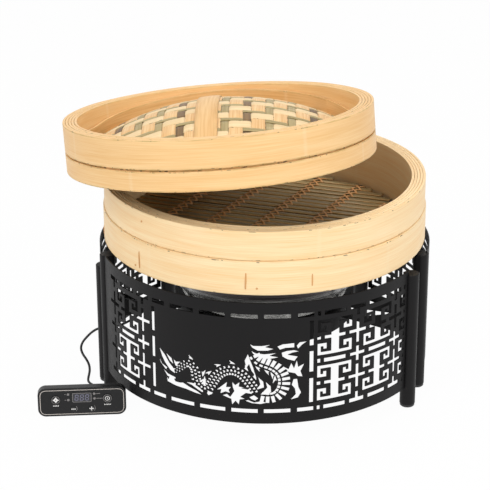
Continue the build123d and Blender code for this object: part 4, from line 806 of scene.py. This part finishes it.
class STEAMER_OT_basket(bpy.types.Operator):
    """Adds the basket's hoops, pegs and stitches"""
    bl_idname = "steamer.basket"
    bl_label = "Basket"

    def execute(self, context):
        sizes = context.scene.steamer_basket
        whole, lower = (BASKET_LOW, BASKET_HIGH), (BASKET_LOW, BASKET_SEAM)
        upper = (BASKET_SEAM + STRIP_GAP, BASKET_HIGH)
        plans = (
            ("basket_inner_strip", "basket_inner_hoop", ((0, *whole, 0.0),)),
            ("basket_middle_strips", "basket_middle_hoops", ((1, *whole, 0.0), (2, *whole, 0.0))),
            ("basket_lower_strips", "basket_lower_bands", ((3, *lower, 0.0), (4, *lower, sizes.swell))),
            ("basket_upper_strips", "basket_upper_bands", ((3, *upper, 0.0), (4, *upper, 0.0))),
        )
        for name, node, strips in plans:
            shell = new_shell()
            for number, low, high, swell in strips:
                # A strip's lap lies further round than the one inside it. The thicker strip's top is rounder
                inner, outer = basket_layer(number)
                profile = strip_profile(inner, outer + swell, low, high, sizes.rounding,
                                        1.1 * MM if swell else None)
                hoop_strip(shell, profile, Matrix.Identity(4), seed=number + 3.0 * (low > BASKET_LOW),
                           wave=sizes.wave, rim_drop=0.5 * MM, lap_angle=math.radians(70 + 23 * number),
                           columns=sizes.columns)
            add_piece(name, shell, ["basket"], "basket", (node,))
        outer = basket_layer(4)[1]
        pegs = []
        for angle, height in BASKET_PEGS:
            reach = outer + (sizes.swell if height * MM < BASKET_SEAM else 0.0)
            pegs.append((at(angle, reach + 0.1 * MM, height * MM), wall_turn(angle), (1.0, 1.0, 1.0)))
        template = peg_template(radius=1.35 * MM, rise=0.25 * MM)
        mesh = repeated("basket_peg_ends", template, pegs, "cane", loose=0.05, seed=3)
        add_mesh("basket_peg_ends", mesh, None, "basket", ("basket_pegs",))
        stitches = on_wall(BASKET_STITCHES, outer + sizes.swell + 0.1 * MM)
        template = staple_template(width=1.7 * MM, rise=0.6 * MM)
        mesh = repeated("basket_cane_stitches", template, stitches, "cane", loose=0.03, seed=5)
        add_mesh("basket_cane_stitches", mesh, None, "basket", ("basket_stitches",))
        return {"FINISHED"}


# Turns of the floor's slats and of its rows of lacing, and how many there are
FLOOR_SLAT_TURN = math.radians(-18.0)
FLOOR_ROW_TURN = math.radians(63.0)
FLOOR_ROWS = 5
FLOOR_SLATS = 28
SLAT_LOW, SLAT_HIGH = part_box("floor_slats")[0].z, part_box("floor_slats")[1].z
FLOOR_RADIUS = BASKET_INNER - 0.5 * MM


def slat_template(width, thick, crown):
    """One slat a metre long, split from a cane: its top is crowned."""
    shell = new_shell()
    outline = crowned([(0.5, 1 - crown * 1.5, 1.0), (0.42, 1 - crown, 0.7), (0.25, 1 - crown * 0.35, 0.0)])
    stations = [-0.5, -0.17, 0.17, 0.5]
    sections = [[Vector((x, y * width, z * thick)) for y, z, _ in outline] for x in stations]
    across = [k * MM for k in range(len(outline) + 1)]
    skin(shell, sections, stations, across, [edge for _, _, edge in outline])
    return shell_mesh(shell, "slat_template")


class STEAMER_OT_basket_floor(bpy.types.Operator):
    """Adds the basket's slatted floor and its lacing"""
    bl_idname = "steamer.basket_floor"
    bl_label = "Basket floor"

    def execute(self, context):
        sizes = context.scene.steamer_floor
        chance = random.Random(sizes.seed)
        places = []
        for number in range(FLOOR_SLATS):
            offset = (number - (FLOOR_SLATS - 1) / 2) * sizes.pitch
            half = math.sqrt(FLOOR_RADIUS ** 2 - (abs(offset) + sizes.width / 2) ** 2)
            chord = 2 * half - chance.uniform(0, 2) * MM
            side = chance.uniform(-0.35, 0.35) * MM
            places.append((Vector((0.0, offset + side, SLAT_LOW)), (0.0, 0.0, 0.0),
                           (chord, chance.uniform(0.76, 0.98), chance.uniform(0.7, 1.0))))
        template = slat_template(sizes.width, SLAT_HIGH - SLAT_LOW, crown=0.30)
        mesh = repeated("floor_split_slats", template, places, "slats", loose=0.0012, seed=sizes.seed)
        layer = mesh.uv_layers.get(UV_NAME) or mesh.uv_layers.new(name=UV_NAME)
        for loop, value in zip(mesh.loops, layer.data):
            point = mesh.vertices[loop.vertex_index].co
            value.uv = (point.x, point.y + sizes.pitch / 2)
        mesh.transform(Matrix.Rotation(FLOOR_SLAT_TURN, 4, "Z"))
        add_mesh("floor_split_slats", mesh, None, "basket", ("floor_slats",))
        self.lacing(sizes)
        return {"FINISHED"}

    def lacing(self, sizes):
        """Cane that crosses over every slat along each batten and dips into the gaps."""
        shell = new_shell()
        step = sizes.pitch / math.sin(FLOOR_ROW_TURN - FLOOR_SLAT_TURN)
        swing = 6.6 * MM
        turn = Matrix.Rotation(FLOOR_ROW_TURN, 4, "Z")
        for row in range(FLOOR_ROWS):
            offset = (row - (FLOOR_ROWS - 1) / 2) * sizes.row_pitch
            reach = math.sqrt((FLOOR_RADIUS - 5 * MM) ** 2 - (abs(offset) + swing) ** 2)
            # The gaps between slats cross the row at these places
            shift = offset / math.tan(FLOOR_ROW_TURN - FLOOR_SLAT_TURN)
            first = math.ceil((-reach + shift) / step)
            last = math.floor((reach + shift) / step)
            for strand in (-1, 1):
                path = []
                for number in range(first, last + 1):
                    side = strand * (-1) ** number
                    gap_x = number * step - shift
                    path.append(Vector((gap_x, offset + side * swing, SLAT_HIGH - 1.3 * MM)))
                    if number < last:
                        for share, lift in ((0.18, 0.1), (0.5, 0.55 if strand > 0 else 0.3), (0.82, 0.1)):
                            path.append(Vector((gap_x + share * step, offset + side * swing * (1 - 2 * share),
                                                SLAT_HIGH + lift * MM)))
                self.strand(shell, path, sizes.cane, 0.8 * MM, turn, row + strand)
        add_piece("floor_cane_lacing", shell, ["cane"], "basket", ("floor_lacing",))

    def strand(self, shell, path, width, thick, place, seed):
        """One flat strand along a path in the row's frame."""
        sections, along, run = [], [], 0.0
        for number, point in enumerate(path):
            before = path[max(0, number - 1)]
            after = path[min(len(path) - 1, number + 1)]
            heading = (after - before).normalized()
            side = heading.cross(Vector((0.0, 0.0, 1.0))).normalized() * width / 2
            up = side.cross(heading).normalized() * thick
            if number:
                run += (point - before).length
            along.append(run + seed * 0.3)
            sections.append([place @ (point + side * s + up * u) for s, u in
                             ((-1.0, 0.0), (1.0, 0.0), (0.85, 0.7), (0.0, 1.0), (-0.85, 0.7))])
        across = [width * share for share in (0.0, 1.0, 1.1, 1.6, 2.1, 2.2)]
        skin(shell, sections, along, across, [1.0, 1.0, 0.6, 0.0, 0.6])


class STEAMER_OT_lid(bpy.types.Operator):
    """Adds the lid's hoops, its retaining hoop, centre slat and stitches"""
    bl_idname = "steamer.lid"
    bl_label = "Lid"

    def execute(self, context):
        sizes = context.scene.steamer_basket
        place = lid_frame()
        # The seam is wider in the outermost strip, and lower in the one under it
        inner_seam = LID_SEAM - 4.0 * MM
        plans = (
            ("lid_inner_strip", "lid_inner_hoop", ((0, 0.0, LID_HEIGHT),)),
            ("lid_middle_strips", "lid_middle_hoops", ((1, 0.0, LID_HEIGHT), (2, 0.0, LID_HEIGHT))),
            ("lid_lower_strips", "lid_lower_bands", ((3, 0.0, inner_seam), (4, 0.0, LID_SEAM - 1.6 * MM))),
            ("lid_upper_strips", "lid_upper_bands", ((3, inner_seam + STRIP_GAP, LID_HEIGHT),
                                                     (4, LID_SEAM + STRIP_GAP, LID_HEIGHT))),
        )
        for name, node, strips in plans:
            shell = new_shell()
            for number, low, high in strips:
                inner, outer = lid_layer(number)
                profile = strip_profile(inner, outer, low, high, sizes.rounding)
                if number == 3:
                    # Olive skin shows in the seam between the outer strips
                    profile = [(r, z, 1.0 if r > inner + STRIP / 2 and z < LID_SEAM else edge)
                               for r, z, edge in profile]
                hoop_strip(shell, profile, place, seed=number + 6.0 + 3.0 * (low > 0),
                           wave=0.6 * sizes.wave, rim_drop=0.5 * MM, lap_angle=math.radians(60 + 19 * number),
                           columns=sizes.columns)
            add_piece(name, shell, ["lid"], "lid", (node,))
        shell = new_shell()
        bottom = on_dome(RETAINING_INNER, 0.0, 0.0).z
        profile = strip_profile(RETAINING_INNER, PANEL_RADIUS, bottom, RETAINING_TOP, 0.5 * MM)
        hoop_strip(shell, profile, place, seed=21.0, wave=0.1 * MM, rim_drop=0.8 * MM,
                   lap_angle=math.radians(38), columns=sizes.columns, lap_depth=1.2 * MM,
                   back_rise=RETAINING_BACK_TOP - RETAINING_TOP)
        add_piece("lid_retaining_strip", shell, ["centre_slat"], "lid", ("retaining_hoop",))
        self.centre_slat(place)
        stitches = on_wall(LID_STITCHES, lid_layer(4)[1] + 0.05 * MM)
        template = staple_template(width=1.5 * MM, rise=0.55 * MM)
        mesh = repeated("lid_cane_stitches", template, stitches, "cane", loose=0.03, seed=7)
        mesh.transform(place)
        add_mesh("lid_cane_stitches", mesh, None, "lid", ("lid_stitches",))
        return {"FINISHED"}

    def centre_slat(self, place):
        """The wide slat across the weave, crowned, with its cane stitches."""
        width, thick, shift = 27.0 * MM, 2.2 * MM, -11.3 * MM
        end = math.sqrt((RETAINING_INNER - 0.8 * MM) ** 2 - (abs(shift) + width / 2) ** 2)
        shell = new_shell()
        outline = crowned([(0.5, 0.55, 1.0), (0.47, 0.75, 0.5), (0.3, 0.94, 0.0)])
        steps = 24
        sections, along = [], []
        for step in range(steps + 1):
            y = -end + 2 * end * step / steps
            bow = 0.15 * MM * math.sin(9 * y / end)
            sections.append([place @ on_dome(x * width + shift + bow, y, z * thick) for x, z, _ in outline])
            along.append(y + 0.42)
        skin(shell, sections, along, [0.0, width] + [width + 0.12 * width * k for k in range(1, 9)],
             [edge for _, _, edge in outline])
        add_piece("lid_centre_slat", shell, ["centre_slat"], "lid", ("centre_slat",))
        marks = []
        for x, y in ((-1.0, -138.0), (-2.0, 118.0)):
            point = on_dome(x * MM + shift, y * MM, thick)
            tilt = math.asin(point.y / DOME_RADIUS)
            marks.append((point, (tilt, -math.pi / 2, math.pi / 2), (1.0, 1.0, 0.42)))
        template = staple_template(width=1.4 * MM, rise=0.5 * MM)
        mesh = repeated("lid_slat_stitches", template, marks, "cane", loose=0.06, seed=9)
        mesh.transform(place)
        add_mesh("lid_slat_stitches", mesh, None, "lid")


# Twill of the lid: strips pass over two and under two, one further each row; this is the repeat
TWILL = 4


def crossings(wide, narrow, gap, reach, start):
    """Centres and widths of strips that lie side by side, wide and narrow in turn."""
    found = []
    place = start
    number = 0
    while place - wide > -reach:
        place -= wide + narrow + 2 * gap
        number -= 2
    while place < reach:
        for width in (wide, narrow):
            if abs(place + width / 2) < reach - 2 * MM:
                found.append((place + width / 2, width, number))
            place += width + gap
            number += 1
    return found


def woven_strip(shell, centre, width, mine, others, sizes, place, lengthwise, material, chance):
    """One strip of the weave, over and under the strips that it crosses, cut to the panel's edge."""
    outline = crowned([(0.5, 0.1, 1.0), (0.40, 0.42, 0.0)], -0.5, 0.55)
    drift = chance.uniform(-0.5, 0.5) * MM
    stations = []
    for other_centre, other_width, theirs in others:
        crosswise_over = (mine + theirs) % TWILL < 2
        over = crosswise_over != lengthwise
        level = sizes.lift if over else -sizes.lift
        for share in (-0.36, 0.0, 0.36):
            # Over another strip it bulges a little in the middle
            extra = 0.12 * MM if (over and share == 0.0) else 0.0
            stations.append((other_centre + share * other_width, level + extra))
    stations.sort()
    stations = [(-WEAVE_REACH, stations[0][1])] + stations + [(WEAVE_REACH, stations[-1][1])]
    sections, along = [], []
    offset = chance.uniform(0.0, 2.0)
    for run, level in stations:
        section = []
        for x, z, _ in outline:
            side = centre + x * width + drift * math.sin(run * 11.0)
            half = math.sqrt(max(1e-9, WEAVE_REACH ** 2 - side ** 2))
            clipped = max(-half, min(half, run))
            over_panel = level + z * sizes.strip - PANEL_THICK / 2
            spot = (side, clipped) if lengthwise else (clipped, side)
            section.append(place @ on_dome(*spot, over_panel))
        sections.append(section)
        along.append(run + offset)
    across = [width * share for share in (0.0, 1.0, 1.05, 1.15, 1.55, 1.95, 2.05, 2.1)]
    skin(shell, sections, along, across, [edge for _, _, edge in outline], material=material)


class STEAMER_OT_weave(bpy.types.Operator):
    """Adds the lid's woven panel"""
    bl_idname = "steamer.weave"
    bl_label = "Woven panel"

    def execute(self, context):
        sizes = context.scene.steamer_weave
        place = lid_frame()
        chance = random.Random(11)
        gap = 0.5 * MM
        lengthwise = crossings(sizes.wide_along, sizes.narrow_along, gap, PANEL_RADIUS, 15.0 * MM)
        crosswise = crossings(sizes.wide_across, sizes.narrow_across, gap, PANEL_RADIUS, 4.0 * MM)
        shell = new_shell()
        for centre, width, number in lengthwise:
            # Every third narrow strip is a smoked one
            material = 2 if number % 6 == 1 else number % 2
            woven_strip(shell, centre, width, number, crosswise, sizes, place, True, material, chance)
        add_piece("lid_weave_lengthwise", shell, ["weave_wide_along", "weave_narrow_along", "weave_brown"],
                  "lid", ("woven_panel",))
        shell = new_shell()
        for centre, width, number in crosswise:
            woven_strip(shell, centre, width, number, lengthwise, sizes, place, False, number % 2, chance)
        add_piece("lid_weave_crosswise", shell, ["weave_wide_across", "weave_narrow_across"],
                  "lid")
        return {"FINISHED"}


class STEAMER_OT_stand(bpy.types.Operator):
    """Finishes the stand, the heater and the pan"""
    bl_idname = "steamer.stand"
    bl_label = "Stand, heater and pan"

    def execute(self, context):
        dress("powder", "front_screen", "back_screen", "post_front_left", "post_front_right",
              "post_back_right", "post_back_left", "rear_posts", "post_caps", "support_arms",
              "heater_housing", "base_cover")
        dress("steel", "water_pan")
        dress("aluminium", "hot_plate", "temperature_sensor")
        dress("element", "heating_element")
        dress("mineral", "insulation_disc")
        dress("zinc", "screw_spacers", "heater_screws", "control_screws")
        dress("board", "relay_board")
        dress("ceramic", "terminal_block")
        dress("brass", "inlet_pins")
        dress("plastic", "mains_inlet", "foot_plugs", "key_switches", "display_module")
        dress("rubber", "lead_gland", "lead_grommet", "control_gland")
        dress("pale_core", "support_hoop")
        # The battens and the ledge get painted shade: dark brown where the slats shade them
        dress("slat_shade_core", "floor_battens", "floor_hoop")
        dress("leaf", "lid_lining")
        return {"FINISHED"}


def ring_shape(x, y, inner, outer, start=0.0, finish=360.0, steps=28):
    """A ring or part of one, as quads."""
    faces = []
    for step in range(steps):
        first = math.radians(start + (finish - start) * step / steps)
        second = math.radians(start + (finish - start) * (step + 1) / steps)
        faces.append([(x + r * math.cos(a), y + r * math.sin(a)) for r, a in
                      ((inner, first), (outer, first), (outer, second), (inner, second))])
    return faces


def bar_shape(x, y, width, height, slant=0.0):
    """A bar, leaning by slant per unit of height."""
    lean = slant * height / 2
    return [[(x - width / 2 - lean, y - height / 2), (x + width / 2 - lean, y - height / 2),
             (x + width / 2 + lean, y + height / 2), (x - width / 2 + lean, y + height / 2)]]


def frame_shape(x, y, width, height, corner, line):
    """A rounded rectangle's outline."""
    def outline(inset):
        points = []
        for cx, cy, start in ((1, -1, -90), (1, 1, 0), (-1, 1, 90), (-1, -1, 180)):
            bend = corner - inset
            for step in range(5):
                turn = math.radians(start + 22.5 * step)
                points.append((x + cx * (width / 2 - corner) + bend * math.cos(turn),
                               y + cy * (height / 2 - corner) + bend * math.sin(turn)))
        return points
    outer, inner = outline(0.0), outline(line)
    count = len(outer)
    return [[outer[k], outer[(k + 1) % count], inner[(k + 1) % count], inner[k]] for k in range(count)]


def digit_shape(x, y, width, height, line, slant):
    """The seven segments of one digit, all of them unlit."""
    faces = []
    quarter = height / 4
    for side in (-1, 1):
        for level in (-1, 1):
            across = side * (width - line) / 2 + slant * level * quarter
            faces += bar_shape(x + across, y + level * quarter, line, 2 * quarter - line * 1.2, slant)
    for level in (-1, 0, 1):
        up = level * (height - line) / 2
        faces += bar_shape(x + slant * up, y + up, width - 1.6 * line, line)
    return faces


def star_shape(x, y, reach, waist, steps=6):
    """A four-pointed figure with hollowed sides."""
    rim = []
    for quarter in range(4):
        for step in range(steps):
            share = step / steps
            turn = math.radians(90 * (quarter + share))
            size = reach - (reach - waist) * math.sin(math.pi * share) ** 0.8
            rim.append((x + size * math.cos(turn), y + size * math.sin(turn)))
    count = len(rim)
    return [[(x, y), rim[k], rim[(k + 1) % count]] for k in range(count)]


def printed(name, faces, level, finish, body="stand"):
    """Flat print on the control: level is its height over the face, in millimetres as the faces."""
    shell = bmesh.new()
    place = control_frame()
    rise = Vector((0.0, 0.0, bpy.context.scene.steamer_control.print_height))
    for face in faces:
        spots = [Vector((x, y, level)) * MM for x, y in face]
        low = [shell.verts.new(place @ spot) for spot in spots]
        high = [shell.verts.new(place @ (spot + rise)) for spot in spots]
        count = len(face)
        shell.faces.new(high)
        shell.faces.new(low[::-1])
        for k in range(count):
            shell.faces.new((low[k], low[(k + 1) % count], high[(k + 1) % count], high[k]))
    return add_piece(name, shell, [finish], body)


# Half sizes of the control's face, its packed corner and the fuller corner that it shows
CONTROL_HALF = (53.5 * MM, 19.0 * MM)
CONTROL_CORNER = 5.5 * MM
CONTROL_FULL_CORNER = 10.0 * MM
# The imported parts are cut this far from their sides, in millimetres, so that their corners can bend
CORNER_CUTS = (10.0, 9.0, 8.0, 7.0, 6.0, 4.5, 3.0, 1.5)


def fuller_corner(x, y):
    """Moves a point of the control's outline in, so that the outline's corners have the fuller radius."""
    right = abs(x) - CONTROL_HALF[0] + CONTROL_FULL_CORNER
    up = abs(y) - CONTROL_HALF[1] + CONTROL_FULL_CORNER
    if right <= 0 or up <= 0:
        return x, y
    reach = math.hypot(right, up)
    ahead, rise = right / reach, up / reach
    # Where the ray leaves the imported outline: on a straight side, or else on its corner's arc
    inset = CONTROL_FULL_CORNER - CONTROL_CORNER
    edge = CONTROL_FULL_CORNER / max(ahead, rise)
    if min(ahead, rise) * edge > inset:
        middle = inset * (ahead + rise)
        edge = middle + math.sqrt(middle ** 2 - 2 * inset ** 2 + CONTROL_CORNER ** 2)
    share = CONTROL_FULL_CORNER / edge
    right, up = right * share, up * share
    return (math.copysign(right + CONTROL_HALF[0] - CONTROL_FULL_CORNER, x),
            math.copysign(up + CONTROL_HALF[1] - CONTROL_FULL_CORNER, y))


def round_corners(name, node, finish):
    """A copy of one of the control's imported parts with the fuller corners."""
    place = control_frame() @ Matrix.Translation((0.0, CONTROL_HALF[1], 0.0))
    back = place.inverted()
    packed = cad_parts[node]
    shell = bmesh.new()
    shell.from_mesh(packed.data)
    shell.transform(back @ packed.matrix_world)
    for axis in (0, 1):
        for side in (-1, 1):
            for inset in CORNER_CUTS:
                cut = Vector((0.0, 0.0, 0.0))
                cut[axis] = side * (CONTROL_HALF[axis] - inset * MM)
                everything = shell.verts[:] + shell.edges[:] + shell.faces[:]
                bmesh.ops.bisect_plane(shell, geom=everything, dist=WELD, plane_co=cut,
                                       plane_no=cut.normalized())
    for vert in shell.verts:
        vert.co.x, vert.co.y = fuller_corner(vert.co.x, vert.co.y)
    shell.transform(place)
    return add_mesh(name, mesh_of(shell, name), [finish], "stand", (node,))


# Places on the control's face, in millimetres: keys, lamps, and the window with its width and height
MODE_KEY, POWER_KEY, MINUS_KEY, PLUS_KEY = (-31.7, 22.6), (30.9, 22.9), (-10.5, 9.8), (11.4, 9.8)
LAMPS = [(-16.5, 29.4), (-16.5, 21.8), (15.1, 29.4), (15.1, 23.0)]
WINDOW = (0.0, 24.8, 23.2, 12.4)
# How far the window and the keys stand out of the face
WINDOW_PROUD, KEY_PROUD = 0.2, 0.8


class STEAMER_OT_control(bpy.types.Operator):
    """Finishes the control and prints its face"""
    bl_idname = "steamer.control"
    bl_label = "Control"

    def execute(self, context):
        round_corners("control_front", "control_front_shell", "face")
        round_corners("control_back", "control_back_shell", "plastic")
        round_corners("control_trim_line", "control_trim", "foil")
        round_corners("control_circuit_board", "control_board", "board")
        dress("window", "display_window")
        dress("print_grey", "indicator_lamps")
        dress("key", "mode_key", "power_key", "minus_key", "plus_key")
        line = context.scene.steamer_control.line / MM
        printed("window_frame_print", frame_shape(*WINDOW, corner=1.6, line=line), WINDOW_PROUD, "print_grey")
        digits = []
        for place in (-6.3, 0.0, 6.3):
            digits += digit_shape(WINDOW[0] + place, WINDOW[1], width=4.6, height=8.2, line=0.95, slant=0.10)
        printed("display_digits", digits, WINDOW_PROUD, "digits")
        figure = star_shape(*MODE_KEY, reach=3.9, waist=2.2)
        printed("mode_key_figure", figure, KEY_PROUD, "print", "mode_key_body")
        # The middle of the ring lies on the figure, so it is a little higher
        rings = ring_shape(*MODE_KEY, 4.75, 5.1) + ring_shape(*MODE_KEY, 0.0, 0.9, steps=12)
        printed("mode_key_ring", rings, KEY_PROUD + 0.09, "print_grey", "mode_key_body")
        figure = ring_shape(*POWER_KEY, 2.3, 2.9) + bar_shape(*POWER_KEY, 0.7, 2.2)
        printed("power_key_figure", figure, KEY_PROUD, "print", "power_key_body")
        ring = ring_shape(*POWER_KEY, 4.75, 5.15)
        printed("power_key_ring", ring, KEY_PROUD, "print_grey", "power_key_body")
        printed("minus_key_figure", bar_shape(*MINUS_KEY, 5.6, 1.0), KEY_PROUD, "print", "minus_key_body")
        figure = bar_shape(*PLUS_KEY, 5.6, 1.0) + bar_shape(*PLUS_KEY, 1.0, 5.6)
        printed("plus_key_figure", figure, KEY_PROUD, "print", "plus_key_body")
        marks = []
        for key in (MINUS_KEY, PLUS_KEY):
            marks += ring_shape(*key, 4.2, 4.7, -48, 48, 12)
        for lamp in LAMPS:
            marks += ring_shape(*lamp, 1.2, 1.6, steps=14)
        for x, y in LAMPS[:2]:
            marks += bar_shape(x - 3.6, y, 1.4, 0.8)
        for (x, y), size in zip(LAMPS[2:], (4.6, 7.6)):
            marks += bar_shape(x + 2.4 + size / 2, y, size, 0.75)
        printed("lamp_print", marks, 0.0, "print_grey")
        bars = []
        for x, count in ((MODE_KEY[0], 4), (POWER_KEY[0], 5)):
            for number in range(count):
                bars += bar_shape(x + (number - (count - 1) / 2) * 1.75, 14.4, 1.15, 1.3, 0.1)
        printed("key_label_print", bars, 0.0, "print")
        return {"FINISHED"}


# Route of the control lead: the same points as the imported tube's
LEAD_ROUTE = [
    (-117.6, -10.3, 95.5), (-127.0, -11.1, 95.5), (-139.5, -12.2, 92.0), (-155.0, -13.6, 82.0),
    (-170.0, -14.9, 71.0), (-184.0, -16.1, 64.5), (-197.0, -17.2, 63.0), (-209.5, -18.3, 62.6),
    (-218.0, -19.2, 57.6), (-225.0, -20.2, 50.6), (-230.6, -21.6, 43.8), (-232.6, -23.6, 36.6),
    (-230.2, -26.2, 30.0), (-225.4, -29.2, 24.4), (-221.6, -32.2, 17.8), (-220.8, -35.2, 10.8),
    (-222.2, -39.6, 5.2), (-222.6, -46.0, 2.2), (-219.4, -52.6, 1.6), (-213.6, -58.2, 1.6),
    (-208.4, -65.4, 1.6), (-205.9, -75.5, 1.8), (-205.2, -87.0, 3.6), (-204.9, -98.0, 6.8),
    (-204.28, -109.58, 9.0), (-203.65, -117.56, 9.0),
]


class STEAMER_OT_lead(bpy.types.Operator):
    """Adds the control lead"""
    bl_idname = "steamer.lead"
    bl_label = "Control lead"

    def execute(self, context):
        diameter = context.scene.steamer_lead.diameter
        line = bpy.data.curves.new("control_lead_cable", "CURVE")
        line.dimensions = "3D"
        line.bevel_depth = diameter / 2
        line.bevel_resolution = 4
        line.resolution_u = 10
        line.use_fill_caps = True
        spline = line.splines.new("NURBS")
        spline.points.add(len(LEAD_ROUTE) - 1)
        for point, (x, y, z) in zip(spline.points, LEAD_ROUTE):
            point.co = (x * MM, y * MM, z * MM, 1.0)
        spline.order_u = 3
        spline.use_endpoint_u = True
        line.materials.append(finish_of("rubber"))
        lead = bpy.data.objects.new("control_lead_cable", line)
        bpy.context.scene.collection.objects.link(lead)
        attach(lead, "stand")
        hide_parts("control_lead")
        return {"FINISHED"}


# The photograph's camera: place, aim and lens, for a frame of 490 by 490 pixels
CAMERA_PLACE = Vector((0.0, -2.1349, 1.0629))
CAMERA_YAW = -0.0114
CAMERA_PITCH = math.radians(22.72)
CAMERA_ROLL = -0.0029
CAMERA_LENS = 136.09


WHITE = (1.0, 1.0, 1.0, 1.0)


def seen(tree):
    """1 for camera and glossy rays, which see the ground and the sky as white."""
    rays = add_node(tree, "ShaderNodeLightPath")
    return math_node(tree, "MAXIMUM", rays.outputs["Is Camera Ray"], rays.outputs["Is Glossy Ray"])


def pale_ground(name, tone, share):
    """Matt paper: camera and glossy rays see it as nearly white, and it keeps the object's shadow."""
    made = bpy.data.materials.new(name)
    tree = empty_tree(made)
    paper = add_node(tree, "ShaderNodeBsdfDiffuse", {"Color": srgb(tone)})
    white = add_node(tree, "ShaderNodeEmission", {"Color": WHITE, "Strength": 1.0})
    blended = add_node(tree, "ShaderNodeMixShader", links={
        0: times(tree, seen(tree), share), 1: paper.outputs[0], 2: white.outputs[0]})
    add_node(tree, "ShaderNodeOutputMaterial", links={"Surface": blended.outputs[0]})
    return made


class STEAMER_OT_stage(bpy.types.Operator):
    """Adds the floor, the lamps and the camera"""
    bl_idname = "steamer.stage"
    bl_label = "Stage"

    def execute(self, context):
        scene = context.scene
        # The paper lies just under the feet, so that the two don't share a plane
        shell = bmesh.new()
        corners = ((-6.0, -6.0), (6.0, -6.0), (6.0, 6.0), (-6.0, 6.0))
        shell.faces.new([shell.verts.new((x, y, -0.3 * MM)) for x, y in corners])
        mesh = mesh_of(shell, "floor")
        floor = bpy.data.objects.new("floor", mesh)
        scene.collection.objects.link(floor)
        mesh.materials.append(pale_ground("Pale paper floor", tone="#F2F2F2", share=0.97))
        world = bpy.data.worlds.new("Studio")
        scene.world = world
        tree = empty_tree(world)
        dim = add_node(tree, "ShaderNodeBackground", {"Color": WHITE, "Strength": 0.55})
        white = add_node(tree, "ShaderNodeBackground", {"Color": WHITE, "Strength": 1.0})
        both = add_node(tree, "ShaderNodeMixShader", links={
            0: seen(tree), 1: dim.outputs[0], 2: white.outputs[0]})
        add_node(tree, "ShaderNodeOutputWorld", links={"Surface": both.outputs[0]})
        lamps = (
            ("key_lamp", (-1.1, -2.0, 1.9), 1.3, 26.0),
            ("fill_lamp", (1.7, -1.5, 1.3), 1.4, 16.0),
            ("top_lamp", (0.1, 0.3, 2.3), 1.2, 14.0),
        )
        aim = Vector((0.0, 0.0, 0.2))
        for name, place, size, power in lamps:
            light = bpy.data.lights.new(name, "AREA")
            light.shape = "DISK"
            light.size = size
            light.energy = power
            lamp = bpy.data.objects.new(name, light)
            scene.collection.objects.link(lamp)
            lamp.location = place
            lamp.rotation_euler = (aim - Vector(place)).to_track_quat("-Z", "Y").to_euler()
        self.camera(scene)
        return {"FINISHED"}

    def camera(self, scene):
        """The camera at the photograph's place and angle."""
        data = bpy.data.cameras.new("camera")
        data.sensor_width = 36.0
        data.sensor_fit = "HORIZONTAL"
        data.lens = CAMERA_LENS
        camera = bpy.data.objects.new("camera", data)
        scene.collection.objects.link(camera)
        level = math.cos(CAMERA_PITCH)
        ahead = Vector((math.sin(CAMERA_YAW) * level, math.cos(CAMERA_YAW) * level, -math.sin(CAMERA_PITCH)))
        flat = Vector((math.cos(CAMERA_YAW), -math.sin(CAMERA_YAW), 0.0))
        up = flat.cross(ahead)
        side = flat * math.cos(CAMERA_ROLL) + up * math.sin(CAMERA_ROLL)
        top = up * math.cos(CAMERA_ROLL) - flat * math.sin(CAMERA_ROLL)
        turn = Matrix((side, top, -ahead)).transposed().to_4x4()
        camera.matrix_world = Matrix.Translation(CAMERA_PLACE) @ turn
        scene.camera = camera
        scene.view_settings.view_transform = "Standard"


OPERATORS = (STEAMER_OT_stage, STEAMER_OT_lead, STEAMER_OT_basket, STEAMER_OT_basket_floor, STEAMER_OT_lid,
             STEAMER_OT_weave, STEAMER_OT_stand, STEAMER_OT_control)


class STEAMER_PT_pieces(bpy.types.Panel):
    """Lists the steamer's pieces"""
    bl_label = "Dumpling steamer"
    bl_idname = "STEAMER_PT_pieces"
    bl_space_type = "VIEW_3D"
    bl_region_type = "UI"
    bl_category = "Steamer"

    def draw(self, context):
        for operator in OPERATORS:
            self.layout.operator(operator.bl_idname)


def register():
    for group in SETTINGS.values():
        bpy.utils.register_class(group)
    for name, group in SETTINGS.items():
        setattr(bpy.types.Scene, name, PointerProperty(type=group))
    for operator in OPERATORS:
        bpy.utils.register_class(operator)
    bpy.utils.register_class(STEAMER_PT_pieces)


def unregister():
    bpy.utils.unregister_class(STEAMER_PT_pieces)
    for operator in reversed(OPERATORS):
        bpy.utils.unregister_class(operator)
    for name in SETTINGS:
        delattr(bpy.types.Scene, name)
    for group in SETTINGS.values():
        bpy.utils.unregister_class(group)


def main():
    """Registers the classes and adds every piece."""
    register()
    bpy.ops.steamer.stage()
    bpy.ops.steamer.lead()
    bpy.ops.steamer.basket()
    bpy.ops.steamer.basket_floor()
    bpy.ops.steamer.lid()
    bpy.ops.steamer.weave()
    bpy.ops.steamer.stand()
    bpy.ops.steamer.control()


if __name__ == "__main__":
    main()
